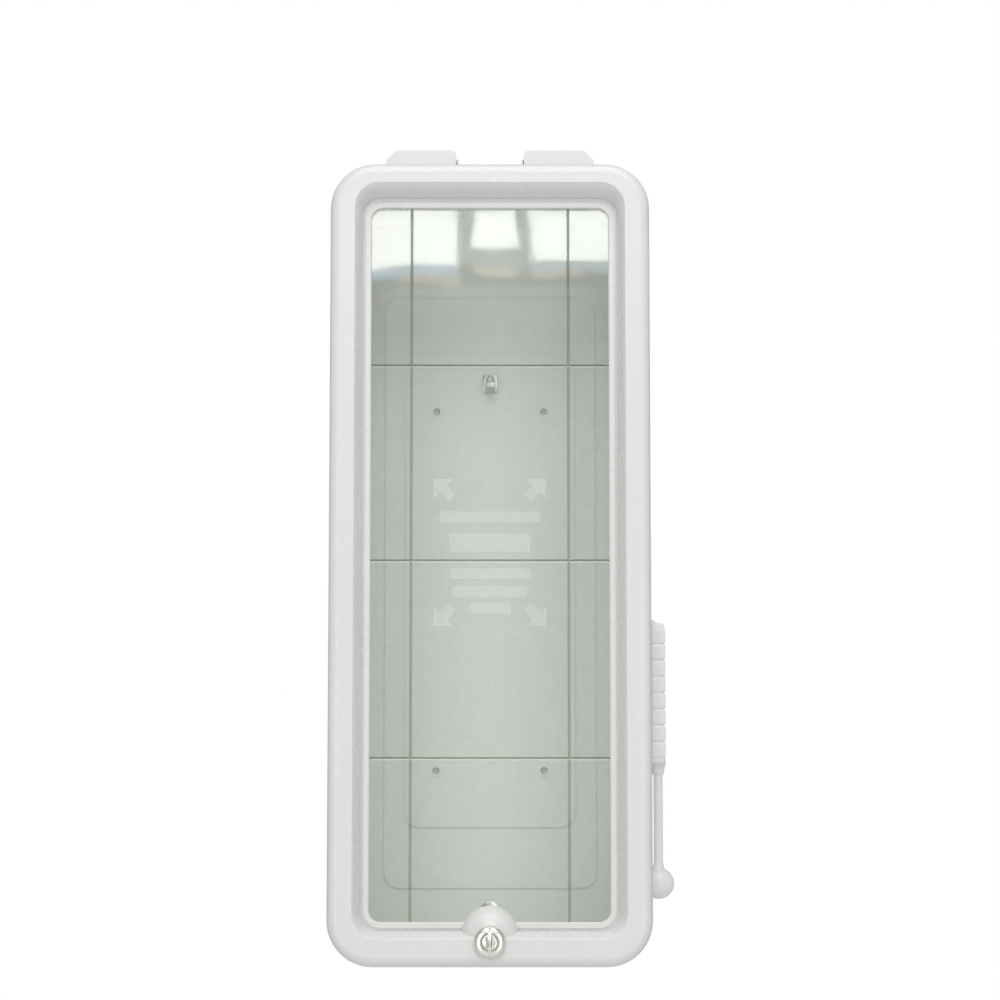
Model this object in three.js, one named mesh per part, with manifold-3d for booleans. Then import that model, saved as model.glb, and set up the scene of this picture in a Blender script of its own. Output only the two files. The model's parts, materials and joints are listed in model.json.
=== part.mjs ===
/**
 * Surface-mounted extinguisher cabinet with a strike-through clear panel, a cam lock and a hammer.
 *
 * Millimetres, +Z up. The front faces -Y and the cabinet's flat back lies in the plane y = 0.
 * The origin is the centre of that back face.
 */
import * as THREE from "three";
import { mergeVertices } from "three/addons/utils/BufferGeometryUtils.js";
import Module from "manifold-3d";

const wasm = await Module();
wasm.setup();

// ---------------------------------------------------------------- overall sizes
const DOOR_WIDTH = 248;
const DOOR_HEIGHT = 620;
const DEPTH = 185; // from the wall to the door's front face
const DOOR_CORNER = 35;

// ---------------------------------------------------------------- fits
const TOUCH_GAP = 0.3; // between pieces that rest on each other
const DOOR_GAP = 1.5; // between the door's skirt and the box, all round
const RUN_GAP = 0.3; // radial, round pins, plugs and shafts

// ---------------------------------------------------------------- door moulding
const DOOR_WALL = 3;
const SKIRT_DEPTH = 42;
const EDGE_RADIUS = 8; // outer front edge
const RIM_SIDE = 19.5; // flat front border, to the edge of the recess
const RIM_TOP = 16.2;
const RIM_BOTTOM = 21.6;
const RECESS_RUN = 7.4; // width of the recess wall and the groove at its foot
const RECESS_RUN_TOP = 12.2; // the same at the top, where the wall slopes more
const RECESS_DEPTH = 16.5;
const LEDGE = 4.6; // flat ledge between the groove and the window
const GROOVE = { width: 2, depth: 1.4 }; // at the foot of the recess wall
const LEDGE_THICKNESS = 2.7;
const WINDOW_CORNER = 9;

// ---------------------------------------------------------------- clear panel
const PANEL_THICKNESS = 2.5;
const PANEL_LAP = 6; // how far the panel reaches behind the ledge
const PANEL_LOCK_GAP = 1; // between the panel's lower edge and the lock's body
const SCORE_WIDTH = 2.3;
const SCORE_DEPTH = 0.9;
const SCORE_X = 61; // the two upright score lines, from the centre
const SCORE_PITCH = 152.4; // between the level score lines

// ---------------------------------------------------------------- box
const BOX_WALL = 3;
const BOX_OVERLAP = 14; // how far the door's skirt covers the box
const BOX_BACK_RADIUS = 12;
const OUTER_PAD = { side: 32.5, top: 71, bottom: 52, rise: 1.5 }; // insets from the box's edges
const INNER_PAD = { side: 49.5, top: 118, bottom: 101.5, rise: 1.5 };
const PAD_CORNER = 12;
// Knock-outs for the wall screws, blind until a screw opens them.
const WALL_HOLE = { side: 75.1, top: 166.5, bottom: 147.5, radius: 3.1, ring: 5.2, ringRise: 0.8, skin: 1.2 };

// ---------------------------------------------------------------- hinges
const HINGE_Z_ABOVE_BOX = 14; // axis above the box's top face
const HINGE_BEHIND_SKIRT = 7; // axis behind the skirt's rear edge
const HOOD = { inner: 27, outer: 82, roofGap: 1, wall: 2.5, slant: 8 };
const HOOD_DEPTH = 18;
const HOOD_WEB_X = 70.5; // web that holds the pin's far end
const KNUCKLE = { radius: 5, from: 38, to: 62, leg: 4 };
const PIN_RADIUS = 2;
const BRACKET = { from: 33, to: 67, depth: 28, thickness: 2.2, screwInset: 9, screwBack: 19 };

// ---------------------------------------------------------------- lock
const LOCK_Z = 19; // axis above the door's bottom edge
const DOME = { radius: 21.7, above: 24.5, proud: 1.2 };
const LOCK_PAD_MARGIN = 0.6; // of the flat seat round the lock's face
const LOCK_FACE = { lip: 3.5, height: 4.4 }; // lip beyond the lock's body
const LOCK_BODY = { radius: 8.5, length: 30, flatCut: 0.8 };
const LOCK_SEAT_WALL = 3.5;
const NUT = { wall: 1.5, thickness: 5 };
const WASHER = { lip: 2.5, thickness: 1 };
const PLUG_RADIUS = 6;
const KEYWAY = { width: 2.6, height: 8.6, depth: 24 };
const KEY = { thickness: 2, blade: 8, bow: 12.3, neck: 10, bowReach: 14.5 };
const SHANK = 7; // square end of the plug
const CAM = { reach: 30, width: 14, thickness: 2.2, tail: 7 };
const KEEPER = { from: 16, to: 42, thickness: 2, rise: 17, foot: 21, gap: 0.8 };

// ---------------------------------------------------------------- hammer
// Heights are above the door's bottom edge.
const HAMMER = { wallGap: 12.8, fromFront: 80, gripBottom: 155, gripLength: 106.5, ball: 62 };
const GRIP = { thickness: 11.4, depth: 24, blocks: 8, groove: 1.7, grooveDepth: 1.3 };
const SPINE = { thickness: 7, above: 22, inside: 9, sunk: 1 }; // above the grip, and up from its foot
const SHAFT_RADIUS = 3.6;
const SHAFT_SOCKET = 22;
const BALL_RADIUS = 12.2;
const CLIP = { jaw: 2.2, base: 2.2, width: 18, jawGap: 0.6, height: 14, tab: 17 };

// ---------------------------------------------------------------- extinguisher hook
const HOOK = { below: 143.5, width: 12, height: 15, sheet: 1.6, arm: 16, tip: 7, armWidth: 7 };

// ---------------------------------------------------------------- fasteners and small pieces
const SCREW = { shaft: 1.6, head: 3.3, headHeight: 1.8 };
const CLIP_PLATE = { width: 16, thickness: 2, reach: 18.5, back: 6 };
const CLIP_INSET = 86.7; // of the side clips, from the window's top and bottom
const BOTTOM_CLIP_X = 62;
const BOSS_RADIUS = 4.5;
const BUMPER = { radius: 3, length: 5.2, above: 65 }; // above the door's bottom edge

// ---------------------------------------------------------------- places worked out from the sizes
const FRONT_Y = -DEPTH;
const SKIRT_Y = FRONT_Y + SKIRT_DEPTH;
const DOOR_X = DOOR_WIDTH / 2;
const DOOR_TOP = DOOR_HEIGHT / 2;
const DOOR_BOTTOM = -DOOR_HEIGHT / 2;
const PLATE_BACK_Y = FRONT_Y + DOOR_WALL;
const LEDGE_Y = FRONT_Y + RECESS_DEPTH;
const SEAT_Y = LEDGE_Y + LEDGE_THICKNESS;
const WINDOW_TOP = DOOR_TOP - RIM_TOP - RECESS_RUN_TOP - LEDGE;
const WINDOW_BOTTOM = DOOR_BOTTOM + RIM_BOTTOM + RECESS_RUN + LEDGE;
const WINDOW_MID = (WINDOW_TOP + WINDOW_BOTTOM) / 2;
const PANEL_Y = SEAT_Y + TOUCH_GAP;
const PANEL_BACK_Y = PANEL_Y + PANEL_THICKNESS;
const CLIP_Y = PANEL_BACK_Y + TOUCH_GAP;

const BOX_X = DOOR_X - DOOR_WALL - DOOR_GAP;
const BOX_TOP = DOOR_TOP - DOOR_WALL - DOOR_GAP;
const BOX_BOTTOM = -BOX_TOP;
const BOX_CORNER = DOOR_CORNER - DOOR_WALL - DOOR_GAP;
const BOX_FRONT_Y = SKIRT_Y - BOX_OVERLAP;
const PAD_Y = -(BOX_WALL + OUTER_PAD.rise + INNER_PAD.rise);

const HINGE_Y = SKIRT_Y + HINGE_BEHIND_SKIRT;
const HINGE_Z = BOX_TOP + HINGE_Z_ABOVE_BOX;
const HOOD_TOP = HINGE_Z + KNUCKLE.radius + HOOD.roofGap + HOOD.wall;
const HOOD_FRONT_Y = SKIRT_Y - 4;

const LOCK_AXIS_Z = DOOR_BOTTOM + LOCK_Z;
const LOCK_FACE_RADIUS = LOCK_BODY.radius + LOCK_FACE.lip;
const LOCK_PAD_RADIUS = LOCK_FACE_RADIUS + LOCK_PAD_MARGIN;
const LOCK_FLAT_X = LOCK_BODY.radius - LOCK_BODY.flatCut;
const NUT_FLAT_RADIUS = LOCK_BODY.radius + NUT.wall;
const WASHER_RADIUS = LOCK_BODY.radius + WASHER.lip;
const DOME_Z = DOOR_BOTTOM + DOME.above;
const LOCK_SEAT_Y = FRONT_Y - DOME.proud;
const LOCK_WALL_BACK_Y = LOCK_SEAT_Y + LOCK_SEAT_WALL;
const LOCK_BACK_Y = LOCK_SEAT_Y + LOCK_BODY.length;
const FACE_Y = LOCK_SEAT_Y - LOCK_FACE.height;
const CAM_Y = LOCK_BACK_Y + TOUCH_GAP;
const CAM_BACK_Y = CAM_Y + CAM.thickness;
const KEEPER_BACK_Y = CAM_Y - KEEPER.gap;

const HAMMER_X = BOX_X + HAMMER.wallGap;
const HAMMER_Y = FRONT_Y + HAMMER.fromFront;
const GRIP_BOTTOM = DOOR_BOTTOM + HAMMER.gripBottom;
const GRIP_TOP = GRIP_BOTTOM + HAMMER.gripLength;
const BALL_Z = DOOR_BOTTOM + HAMMER.ball;
const SPINE_TOP = GRIP_TOP + SPINE.above;
const SPINE_BOTTOM = GRIP_BOTTOM + SPINE.inside;
const BUMPER_Z = DOOR_BOTTOM + BUMPER.above;
const HOOK_Z = BOX_TOP - HOOK.below;

// ---------------------------------------------------------------- solid helpers

/** Makes a manifold-3d solid of a closed three.js geometry, facing out. */
function solidOf(geometry) {
  const bare = geometry.clone();
  bare.deleteAttribute("normal");
  bare.deleteAttribute("uv");
  const merged = mergeVertices(bare, 1e-4);
  const position = merged.getAttribute("position");
  const corners = [0, 1, 2].map(() => new THREE.Vector3());
  const triangles = [];
  let volume = 0;
  for (let i = 0; i < merged.index.count; i += 3) {
    const ids = [0, 1, 2].map((k) => merged.index.getX(i + k));
    if (new Set(ids).size < 3) continue;
    ids.forEach((id, k) => corners[k].fromBufferAttribute(position, id));
    volume += corners[0].dot(corners[1].clone().cross(corners[2]));
    triangles.push(ids);
  }
  const facing = volume < 0 ? triangles.map(([a, b, c]) => [a, c, b]) : triangles;
  return new wasm.Manifold(
    new wasm.Mesh({
      numProp: 3,
      vertProperties: Float32Array.from(position.array),
      triVerts: Uint32Array.from(facing.flat()),
    }),
  );
}

/** Makes a three.js geometry of a manifold-3d solid. */
function geometryOf(solid) {
  const mesh = solid.getMesh();
  const geometry = new THREE.BufferGeometry();
  geometry.setAttribute("position", new THREE.BufferAttribute(mesh.vertProperties, 3));
  geometry.setIndex(new THREE.BufferAttribute(mesh.triVerts, 1));
  geometry.computeVertexNormals();
  return geometry;
}

const joined = (first, ...others) => others.reduce((whole, other) => whole.add(other), first);
const cut = (first, ...others) => others.reduce((whole, other) => whole.subtract(other), first);

/** A box between two corners. */
function block([x0, x1], [y0, y1], [z0, z1]) {
  const geometry = new THREE.BoxGeometry(x1 - x0, y1 - y0, z1 - z0);
  geometry.translate((x0 + x1) / 2, (y0 + y1) / 2, (z0 + z1) / 2);
  return solidOf(geometry);
}

/** Where an extrusion's own x, y and z run, for each axis that it can follow. */
const EXTRUDE_BASIS = {
  x: new THREE.Matrix4().makeBasis(
    new THREE.Vector3(0, 1, 0), new THREE.Vector3(0, 0, 1), new THREE.Vector3(1, 0, 0)),
  y: new THREE.Matrix4().makeBasis(
    new THREE.Vector3(-1, 0, 0), new THREE.Vector3(0, 0, 1), new THREE.Vector3(0, 1, 0)),
  z: new THREE.Matrix4(),
};

/**
 * Extrudes an outline along x, y or z. The outline's own axes are (y, z) along x,
 * (-x, z) along y and (x, y) along z.
 */
function extruded(outline, axis, from, to, curveSegments = 8) {
  const shape = outline instanceof THREE.Shape ? outline : shapeOf(outline);
  const geometry = new THREE.ExtrudeGeometry(shape, {
    depth: to - from, bevelEnabled: false, curveSegments,
  });
  geometry.translate(0, 0, from);
  geometry.applyMatrix4(EXTRUDE_BASIS[axis]);
  return solidOf(geometry);
}

function shapeOf(points) {
  return new THREE.Shape(points.map(([a, b]) => new THREE.Vector2(a, b)));
}

/** A round bar along an axis, centred on the point where its other two coordinates lie. */
function bar(axis, radius, from, to, at, sides = 24) {
  const geometry = new THREE.CylinderGeometry(radius, radius, to - from, sides);
  geometry.translate(0, (from + to) / 2, 0);
  return turnedTo(axis, geometry, at);
}

/** A body of revolution. The profile holds [radius, place along the axis]. */
function turned(axis, profile, at, sides = 24) {
  const points = profile.map(([radius, along]) => new THREE.Vector2(radius, along));
  return turnedTo(axis, new THREE.LatheGeometry(points, sides), at);
}

/** Lays a geometry made about Y along another axis and moves it to its place. */
function turnedTo(axis, geometry, [a, b]) {
  if (axis === "x") {
    geometry.rotateZ(-Math.PI / 2);
    geometry.translate(0, a, b);
  } else if (axis === "z") {
    geometry.rotateX(Math.PI / 2);
    geometry.translate(a, b, 0);
  } else {
    geometry.translate(a, 0, b);
  }
  return solidOf(geometry);
}

/** A rounded rectangle in the plane y, as a ring of points. */
function ring({ x, low, high, corner, y }, steps = 12) {
  const points = [];
  const centres = [
    [x - corner, high - corner],
    [-x + corner, high - corner],
    [-x + corner, low + corner],
    [x - corner, low + corner],
  ];
  centres.forEach(([cx, cz], quarter) => {
    for (let i = 0; i <= steps; i += 1) {
      const angle = (Math.PI / 2) * (quarter + i / steps);
      points.push(new THREE.Vector3(cx + corner * Math.cos(angle), y, cz + corner * Math.sin(angle)));
    }
  });
  return points;
}

/** Skins a list of rings: closed on itself, or with a flat cap on each end. */
function lofted(rings, closed) {
  const count = rings[0].length;
  const positions = rings.flat();
  const index = [];
  const spans = closed ? rings.length : rings.length - 1;
  for (let r = 0; r < spans; r += 1) {
    const here = r * count;
    const next = ((r + 1) % rings.length) * count;
    for (let i = 0; i < count; i += 1) {
      const j = (i + 1) % count;
      index.push(here + i, here + j, next + j, here + i, next + j, next + i);
    }
  }
  if (!closed) {
    [0, rings.length - 1].forEach((r, end) => {
      const middle = new THREE.Vector3();
      rings[r].forEach((point) => middle.addScaledVector(point, 1 / count));
      positions.push(middle);
      for (let i = 0; i < count; i += 1) {
        const pair = [r * count + i, r * count + ((i + 1) % count)];
        index.push(positions.length - 1, ...(end ? pair : pair.reverse()));
      }
    });
  }
  const geometry = new THREE.BufferGeometry();
  geometry.setAttribute(
    "position", new THREE.Float32BufferAttribute(positions.flatMap((p) => [p.x, p.y, p.z]), 3));
  geometry.setIndex(index);
  return solidOf(geometry);
}

/** A quarter of a circle as [across, along] pairs, from 0 to 1 each. */
function quarter(steps) {
  return Array.from({ length: steps + 1 }, (_, i) => {
    const angle = (Math.PI / 2) * (i / steps);
    return [1 - Math.cos(angle), Math.sin(angle)];
  });
}

// ---------------------------------------------------------------- finishes
const FINISHES = {
  whitePlastic: { color: 0xdfdfdd, roughness: 0.22, metalness: 0 },
  acrylic: { color: 0xc6d8c8, roughness: 0.05, metalness: 0, transparent: true, opacity: 0.35 },
  nickel: { color: 0xd6d5c8, roughness: 0.3, metalness: 0.9 },
  zinc: { color: 0xb9bcc0, roughness: 0.4, metalness: 0.9 },
  rubber: { color: 0x2c2c2e, roughness: 0.8, metalness: 0 },
};

const cabinet = new THREE.Group();

/** Adds one named piece with a material of its own. */
function piece(name, solid, finish) {
  const mesh = new THREE.Mesh(geometryOf(solid), new THREE.MeshStandardMaterial(FINISHES[finish]));
  mesh.name = name;
  cabinet.add(mesh);
}

// ---------------------------------------------------------------- back box

/** Outline of one raised pad of the back, at one depth. */
function padRing(pad, y) {
  const span = { low: BOX_BOTTOM + pad.bottom, high: BOX_TOP - pad.top };
  return ring({ x: BOX_X - pad.side, ...span, corner: PAD_CORNER, y }, 4);
}

/** The box's outline, moved in by an inset. */
function boxRing(inset, y) {
  const x = BOX_X - inset;
  return ring({ x, low: BOX_BOTTOM + inset, high: BOX_TOP - inset, corner: BOX_CORNER - inset, y });
}

function backBox() {
  const outer = quarter(4).map(([across, along]) =>
    boxRing(BOX_BACK_RADIUS * (1 - along), -BOX_BACK_RADIUS * across));
  const innerRadius = BOX_BACK_RADIUS - BOX_WALL;
  const inner = quarter(4).reverse().map(([across, along]) =>
    boxRing(BOX_WALL + innerRadius * (1 - along), -BOX_WALL - innerRadius * across));
  const shell = lofted(
    [...outer, boxRing(0, BOX_FRONT_Y), boxRing(BOX_WALL, BOX_FRONT_Y), ...inner], false);
  const pads = [
    [OUTER_PAD, -BOX_WALL],
    [INNER_PAD, -BOX_WALL - OUTER_PAD.rise],
  ].map(([pad, y]) =>
    lofted([
      padRing(pad, y + 1),
      padRing(pad, y - pad.rise),
    ], false));
  const holeX = BOX_X - WALL_HOLE.side;
  const holeZs = [BOX_BOTTOM + WALL_HOLE.bottom, BOX_TOP - WALL_HOLE.top];
  const places = [-holeX, holeX].flatMap((x) => holeZs.map((z) => [x, z]));
  const rings = places.map((at) =>
    bar("y", WALL_HOLE.ring, PAD_Y - WALL_HOLE.ringRise, PAD_Y + 1, at));
  const wallHoles = places.map((at) => bar("y", WALL_HOLE.radius, PAD_Y - 3, -WALL_HOLE.skin, at));
  const screwHole = SCREW.shaft + RUN_GAP;
  const topHoles = bracketScrewPlaces().map((at) =>
    bar("z", screwHole, BOX_TOP - BOX_WALL - 1, BOX_TOP + 1, at, 12));
  const keeperHoles = keeperScrewPlaces().map((at) =>
    bar("z", screwHole, BOX_BOTTOM - 1, BOX_BOTTOM + BOX_WALL + 1, at, 12));
  const clipHoles = hammerClips().map(({ screwZ }) =>
    bar("x", screwHole, BOX_X - BOX_WALL - 1, BOX_X + 1, [HAMMER_Y, screwZ], 12));
  const hookHole = bar("y", screwHole, PAD_Y - 1, 1, [0, HOOK_Z + HOOK.height / 4], 12);
  return cut(
    joined(shell, ...pads, ...rings),
    ...wallHoles, ...topHoles, ...keeperHoles, ...clipHoles, hookHole);
}

// ---------------------------------------------------------------- door

/** The door's outline moved in by its own share on each side. */
function doorRing({ side, top, bottom, corner, y }) {
  return ring({ x: DOOR_X - side, low: DOOR_BOTTOM + bottom, high: DOOR_TOP - top, corner, y });
}

const evenRing = (inset, y) =>
  doorRing({ side: inset, top: inset, bottom: inset, corner: DOOR_CORNER - inset, y });

/** A ring that runs beside the rim's inner edge, further in by a run. */
function rimRing(run, y, corner) {
  const share = THREE.MathUtils.clamp(run / RECESS_RUN, 0, 1);
  const top = RIM_TOP + run + (RECESS_RUN_TOP - RECESS_RUN) * share;
  return doorRing({ side: RIM_SIDE + run, top, bottom: RIM_BOTTOM + run, corner, y });
}

/** The moulded frame as one profile carried round the door, closed on itself. */
function doorShell() {
  const rimCorner = 19;
  const creaseCorner = WINDOW_CORNER + LEDGE;
  const edge = quarter(4).map(([across, along]) =>
    evenRing(EDGE_RADIUS * across, FRONT_Y + EDGE_RADIUS * (1 - along)));
  const lip = quarter(3).map(([across, along]) =>
    rimRing(0.8 * along - 0.8, FRONT_Y + 0.8 * across, rimCorner));
  const wallRun = RECESS_RUN - GROOVE.width;
  const wall = [0.12, 0.28, 0.46, 0.66, 0.84, 1].map((depth) => {
    const across = 1 - (1 - depth) ** 1.7;
    return rimRing(
      wallRun * across,
      FRONT_Y + RECESS_DEPTH * depth,
      rimCorner + (creaseCorner - rimCorner) * across);
  });
  const groove = [
    [wallRun, LEDGE_Y + GROOVE.depth],
    [RECESS_RUN, LEDGE_Y + GROOVE.depth],
    [RECESS_RUN, LEDGE_Y],
  ].map(([run, y]) => rimRing(run, y, creaseCorner));
  const backRun = wallRun - DOOR_WALL;
  return lofted([
    evenRing(0, SKIRT_Y),
    ...edge,
    ...lip,
    ...wall,
    ...groove,
    rimRing(RECESS_RUN + LEDGE - 0.8, LEDGE_Y, WINDOW_CORNER + 0.8),
    rimRing(RECESS_RUN + LEDGE, LEDGE_Y + 0.8, WINDOW_CORNER),
    rimRing(RECESS_RUN + LEDGE, SEAT_Y, WINDOW_CORNER),
    rimRing(backRun, SEAT_Y, creaseCorner + DOOR_WALL),
    rimRing(backRun - 1.5, LEDGE_Y - 3, rimCorner + DOOR_WALL),
    rimRing(-DOOR_WALL, PLATE_BACK_Y, rimCorner + DOOR_WALL),
    evenRing(EDGE_RADIUS, PLATE_BACK_Y),
    evenRing(DOOR_WALL + 1.5, PLATE_BACK_Y + 1.5),
    evenRing(DOOR_WALL, PLATE_BACK_Y + 5),
    evenRing(DOOR_WALL, SKIRT_Y),
  ], true);
}

/** An oval dome about Y, from a base plane forward to its tip. */
function dome(radius, tipY, baseY) {
  const curve = quarter(8).map(([across, along]) =>
    [radius * along, tipY + (LEDGE_Y - tipY) * across]);
  return turned("y", [...curve, [radius, baseY], [0, baseY]], [0, DOME_Z], 40);
}

/** The moulded swelling that carries the lock, before its inside is cut. */
function lockBoss() {
  return joined(
    dome(DOME.radius, LOCK_SEAT_Y, SEAT_Y),
    bar("y", LOCK_PAD_RADIUS, LOCK_SEAT_Y, LOCK_WALL_BACK_Y, [0, LOCK_AXIS_Z], 40));
}

function lockHole() {
  const half = LOCK_FLAT_X + TOUCH_GAP;
  return bar("y", LOCK_BODY.radius + RUN_GAP, LOCK_SEAT_Y - 1, LOCK_WALL_BACK_Y + 1, [0, LOCK_AXIS_Z], 32)
    .intersect(block([-half, half], [FRONT_Y - 9, SKIRT_Y], [DOOR_BOTTOM, DOOR_TOP]));
}

/** Places [x, z] of the panel clips' screws, with the way each clip points. */
function clipPlaces() {
  const sideX = DOOR_X - RIM_SIDE + RECESS_RUN - 1;
  const upright = [-1, 1].flatMap((sx) =>
    [-1, 1].map((sz) => ({
      name: `${sz > 0 ? "upper" : "lower"}_${sx > 0 ? "right" : "left"}`,
      at: [sx * sideX, WINDOW_MID + sz * ((WINDOW_TOP - WINDOW_BOTTOM) / 2 - CLIP_INSET)],
      toward: [-sx, 0],
    })));
  const topZ = DOOR_TOP - RIM_TOP + 5;
  const bottomZ = DOOR_BOTTOM + RIM_BOTTOM - 9;
  return [
    ...upright,
    { name: "top", at: [0, topZ], toward: [0, -1] },
    { name: "bottom_left", at: [-BOTTOM_CLIP_X, bottomZ], toward: [0, 1] },
    { name: "bottom_right", at: [BOTTOM_CLIP_X, bottomZ], toward: [0, 1] },
  ];
}

/** Outline of the hood seen from the front, square inside and slanted outside. */
function hoodOutline(side, inset) {
  const low = DOOR_TOP - 1.5;
  const high = HOOD_TOP - inset;
  const outline = [
    [HOOD.inner + inset, low],
    [HOOD.outer - inset, low],
    [HOOD.outer - inset, high - HOOD.slant + inset / 2],
    [HOOD.outer - HOOD.slant - inset / 2, high],
    [HOOD.inner + inset + 2, high],
    [HOOD.inner + inset, high - 2],
  ];
  return outline.map(([x, z]) => [-side * x, z]);
}

/** A hood on the skirt's rear edge, open below and behind, with two walls that hold the pin. */
function hingeHood(side) {
  const rear = HOOD_FRONT_Y + HOOD_DEPTH;
  const whole = extruded(hoodOutline(side, 0), "y", HOOD_FRONT_Y, rear);
  const inside = extruded(hoodOutline(side, HOOD.wall), "y", HOOD_FRONT_Y + HOOD.wall, rear + 1);
  const web = block(spanX(side, HOOD_WEB_X, HOOD_WEB_X + HOOD.wall),
    [HOOD_FRONT_Y + 1, rear], [DOOR_TOP, HOOD_TOP - 1]);
  const below = block([-DOOR_X, DOOR_X], [SKIRT_Y, 0], [BOX_BOTTOM, DOOR_TOP]);
  return cut(joined(cut(whole, inside), web), below);
}

/** The X span of something on one side of the middle. */
const spanX = (side, near, far) => (side > 0 ? [near, far] : [-far, -near]);

function doorFrame() {
  const bosses = clipPlaces().map(({ at }) =>
    bar("y", BOSS_RADIUS, PLATE_BACK_Y - 0.5, PANEL_BACK_Y, at, 16));
  const pilots = clipPlaces().map(({ at }) =>
    bar("y", SCREW.shaft + RUN_GAP, PLATE_BACK_Y + 4, PANEL_BACK_Y + 1, at, 12));
  const bumperBosses = [-1, 1].map((side) =>
    bar("y", BOSS_RADIUS, PLATE_BACK_Y - 0.5, bumperY(), [side * bumperX(), BUMPER_Z], 16));
  const pinHoles = [-1, 1].map((side) =>
    bar("x", PIN_RADIUS + RUN_GAP, ...spanX(side, HOOD.inner - 1, HOOD_WEB_X + 4), [HINGE_Y, HINGE_Z], 16));
  const lockSpace = joined(
    dome(DOME.radius - DOOR_WALL, LOCK_SEAT_Y + DOOR_WALL, SEAT_Y + 1),
    bar("y", NUT_FLAT_RADIUS + 2.4, LOCK_WALL_BACK_Y, SEAT_Y + 1, [0, LOCK_AXIS_Z], 32));
  return cut(
    joined(doorShell(), lockBoss(), ...bosses, ...bumperBosses, hingeHood(-1), hingeHood(1)),
    lockSpace, lockHole(), ...pilots, ...pinHoles);
}

function clearPanel() {
  const rimRun = RECESS_RUN + LEDGE - PANEL_LAP;
  const corner = WINDOW_CORNER + PANEL_LAP;
  const sheet = lofted(
    [rimRing(rimRun, PANEL_Y, corner), rimRing(rimRun, PANEL_BACK_Y, corner)], false);
  const groove = [
    [PANEL_Y - 1, -SCORE_WIDTH / 2 * (1 + 1 / SCORE_DEPTH)],
    [PANEL_Y + SCORE_DEPTH, 0],
    [PANEL_Y - 1, SCORE_WIDTH / 2 * (1 + 1 / SCORE_DEPTH)],
  ];
  const upright = [-1, 1].map((side) =>
    extruded(groove.map(([y, x]) => [side * SCORE_X + x, y]), "z", DOOR_BOTTOM, DOOR_TOP));
  const level = [-1, 0, 1].map((row) =>
    extruded(groove.map(([y, z]) => [y, WINDOW_MID + row * SCORE_PITCH + z]), "x", -DOOR_X, DOOR_X));
  const lockNotch = bar("y", LOCK_BODY.radius + PANEL_LOCK_GAP, PANEL_Y - 1, PANEL_BACK_Y + 1,
    [0, LOCK_AXIS_Z], 32);
  return cut(sheet, lockNotch, ...upright, ...level);
}

/** A screw along Y with its head towards the rear, or along another axis by its sign. */
function screw(axis, headAt, sign, length, at) {
  const profile = [
    [0, 0],
    [SCREW.head, 0],
    [SCREW.head, 0.7],
    [SCREW.head * 0.62, SCREW.headHeight],
    [0, SCREW.headHeight],
  ];
  const head = turned(axis, profile.map(([r, along]) => [r, headAt + sign * along]), at, 16);
  const tip = headAt - sign * length;
  const shaft = bar(axis, SCREW.shaft, Math.min(tip, headAt + sign * 0.5),
    Math.max(tip, headAt + sign * 0.5), at, 12);
  return joined(head, shaft);
}

function panelClip({ at, toward }) {
  const [dx, dz] = toward;
  const reach = CLIP_PLATE.reach;
  const back = CLIP_PLATE.back;
  const half = CLIP_PLATE.width / 2;
  const spanOf = (centre, way) =>
    way === 0
      ? [centre - half, centre + half]
      : [centre - (way > 0 ? back : reach), centre + (way > 0 ? reach : back)];
  const plate = block(spanOf(at[0], dx), [CLIP_Y, CLIP_Y + CLIP_PLATE.thickness], spanOf(at[1], dz));
  return cut(plate, bar("y", SCREW.shaft + RUN_GAP, CLIP_Y - 1, CLIP_Y + 5, at, 12));
}

const bumperX = () => DOOR_X - DOOR_WALL - BUMPER.radius - TOUCH_GAP;
const bumperY = () => BOX_FRONT_Y - TOUCH_GAP - BUMPER.length;

function bumper(side) {
  return bar("y", BUMPER.radius, bumperY() + TOUCH_GAP, BOX_FRONT_Y - TOUCH_GAP,
    [side * bumperX(), BUMPER_Z], 16);
}

// ---------------------------------------------------------------- hinges

function bracketScrewPlaces() {
  const y = HINGE_Y + BRACKET.screwBack - 2;
  return [-1, 1].flatMap((side) =>
    [BRACKET.from + BRACKET.screwInset, BRACKET.to - BRACKET.screwInset].map((x) => [side * x, y]));
}

function hingeBracket(side) {
  const low = BOX_TOP + TOUCH_GAP;
  const plate = block(spanX(side, BRACKET.from, BRACKET.to),
    [HINGE_Y - 3, HINGE_Y - 3 + BRACKET.depth], [low, low + BRACKET.thickness]);
  const span = spanX(side, KNUCKLE.from, KNUCKLE.to);
  const leg = block(span, [HINGE_Y - KNUCKLE.leg / 2, HINGE_Y + KNUCKLE.leg / 2], [low, HINGE_Z]);
  const knuckle = bar("x", KNUCKLE.radius, ...span, [HINGE_Y, HINGE_Z]);
  const bore = bar("x", PIN_RADIUS + RUN_GAP, span[0] - 1, span[1] + 1, [HINGE_Y, HINGE_Z], 16);
  const holes = bracketScrewPlaces().map((at) =>
    bar("z", SCREW.shaft + RUN_GAP, low - 1, low + BRACKET.thickness + 1, at, 12));
  return cut(joined(plate, leg, knuckle), bore, ...holes);
}

function hingePin(side) {
  const shaft = bar("x", PIN_RADIUS,
    ...spanX(side, HOOD.inner - 1, HOOD_WEB_X + HOOD.wall + 1.2), [HINGE_Y, HINGE_Z], 16);
  const head = bar("x", PIN_RADIUS + 1.4,
    ...spanX(side, HOOD.inner - TOUCH_GAP - 1.6, HOOD.inner - TOUCH_GAP), [HINGE_Y, HINGE_Z], 16);
  return joined(shaft, head);
}

// ---------------------------------------------------------------- lock

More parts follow.
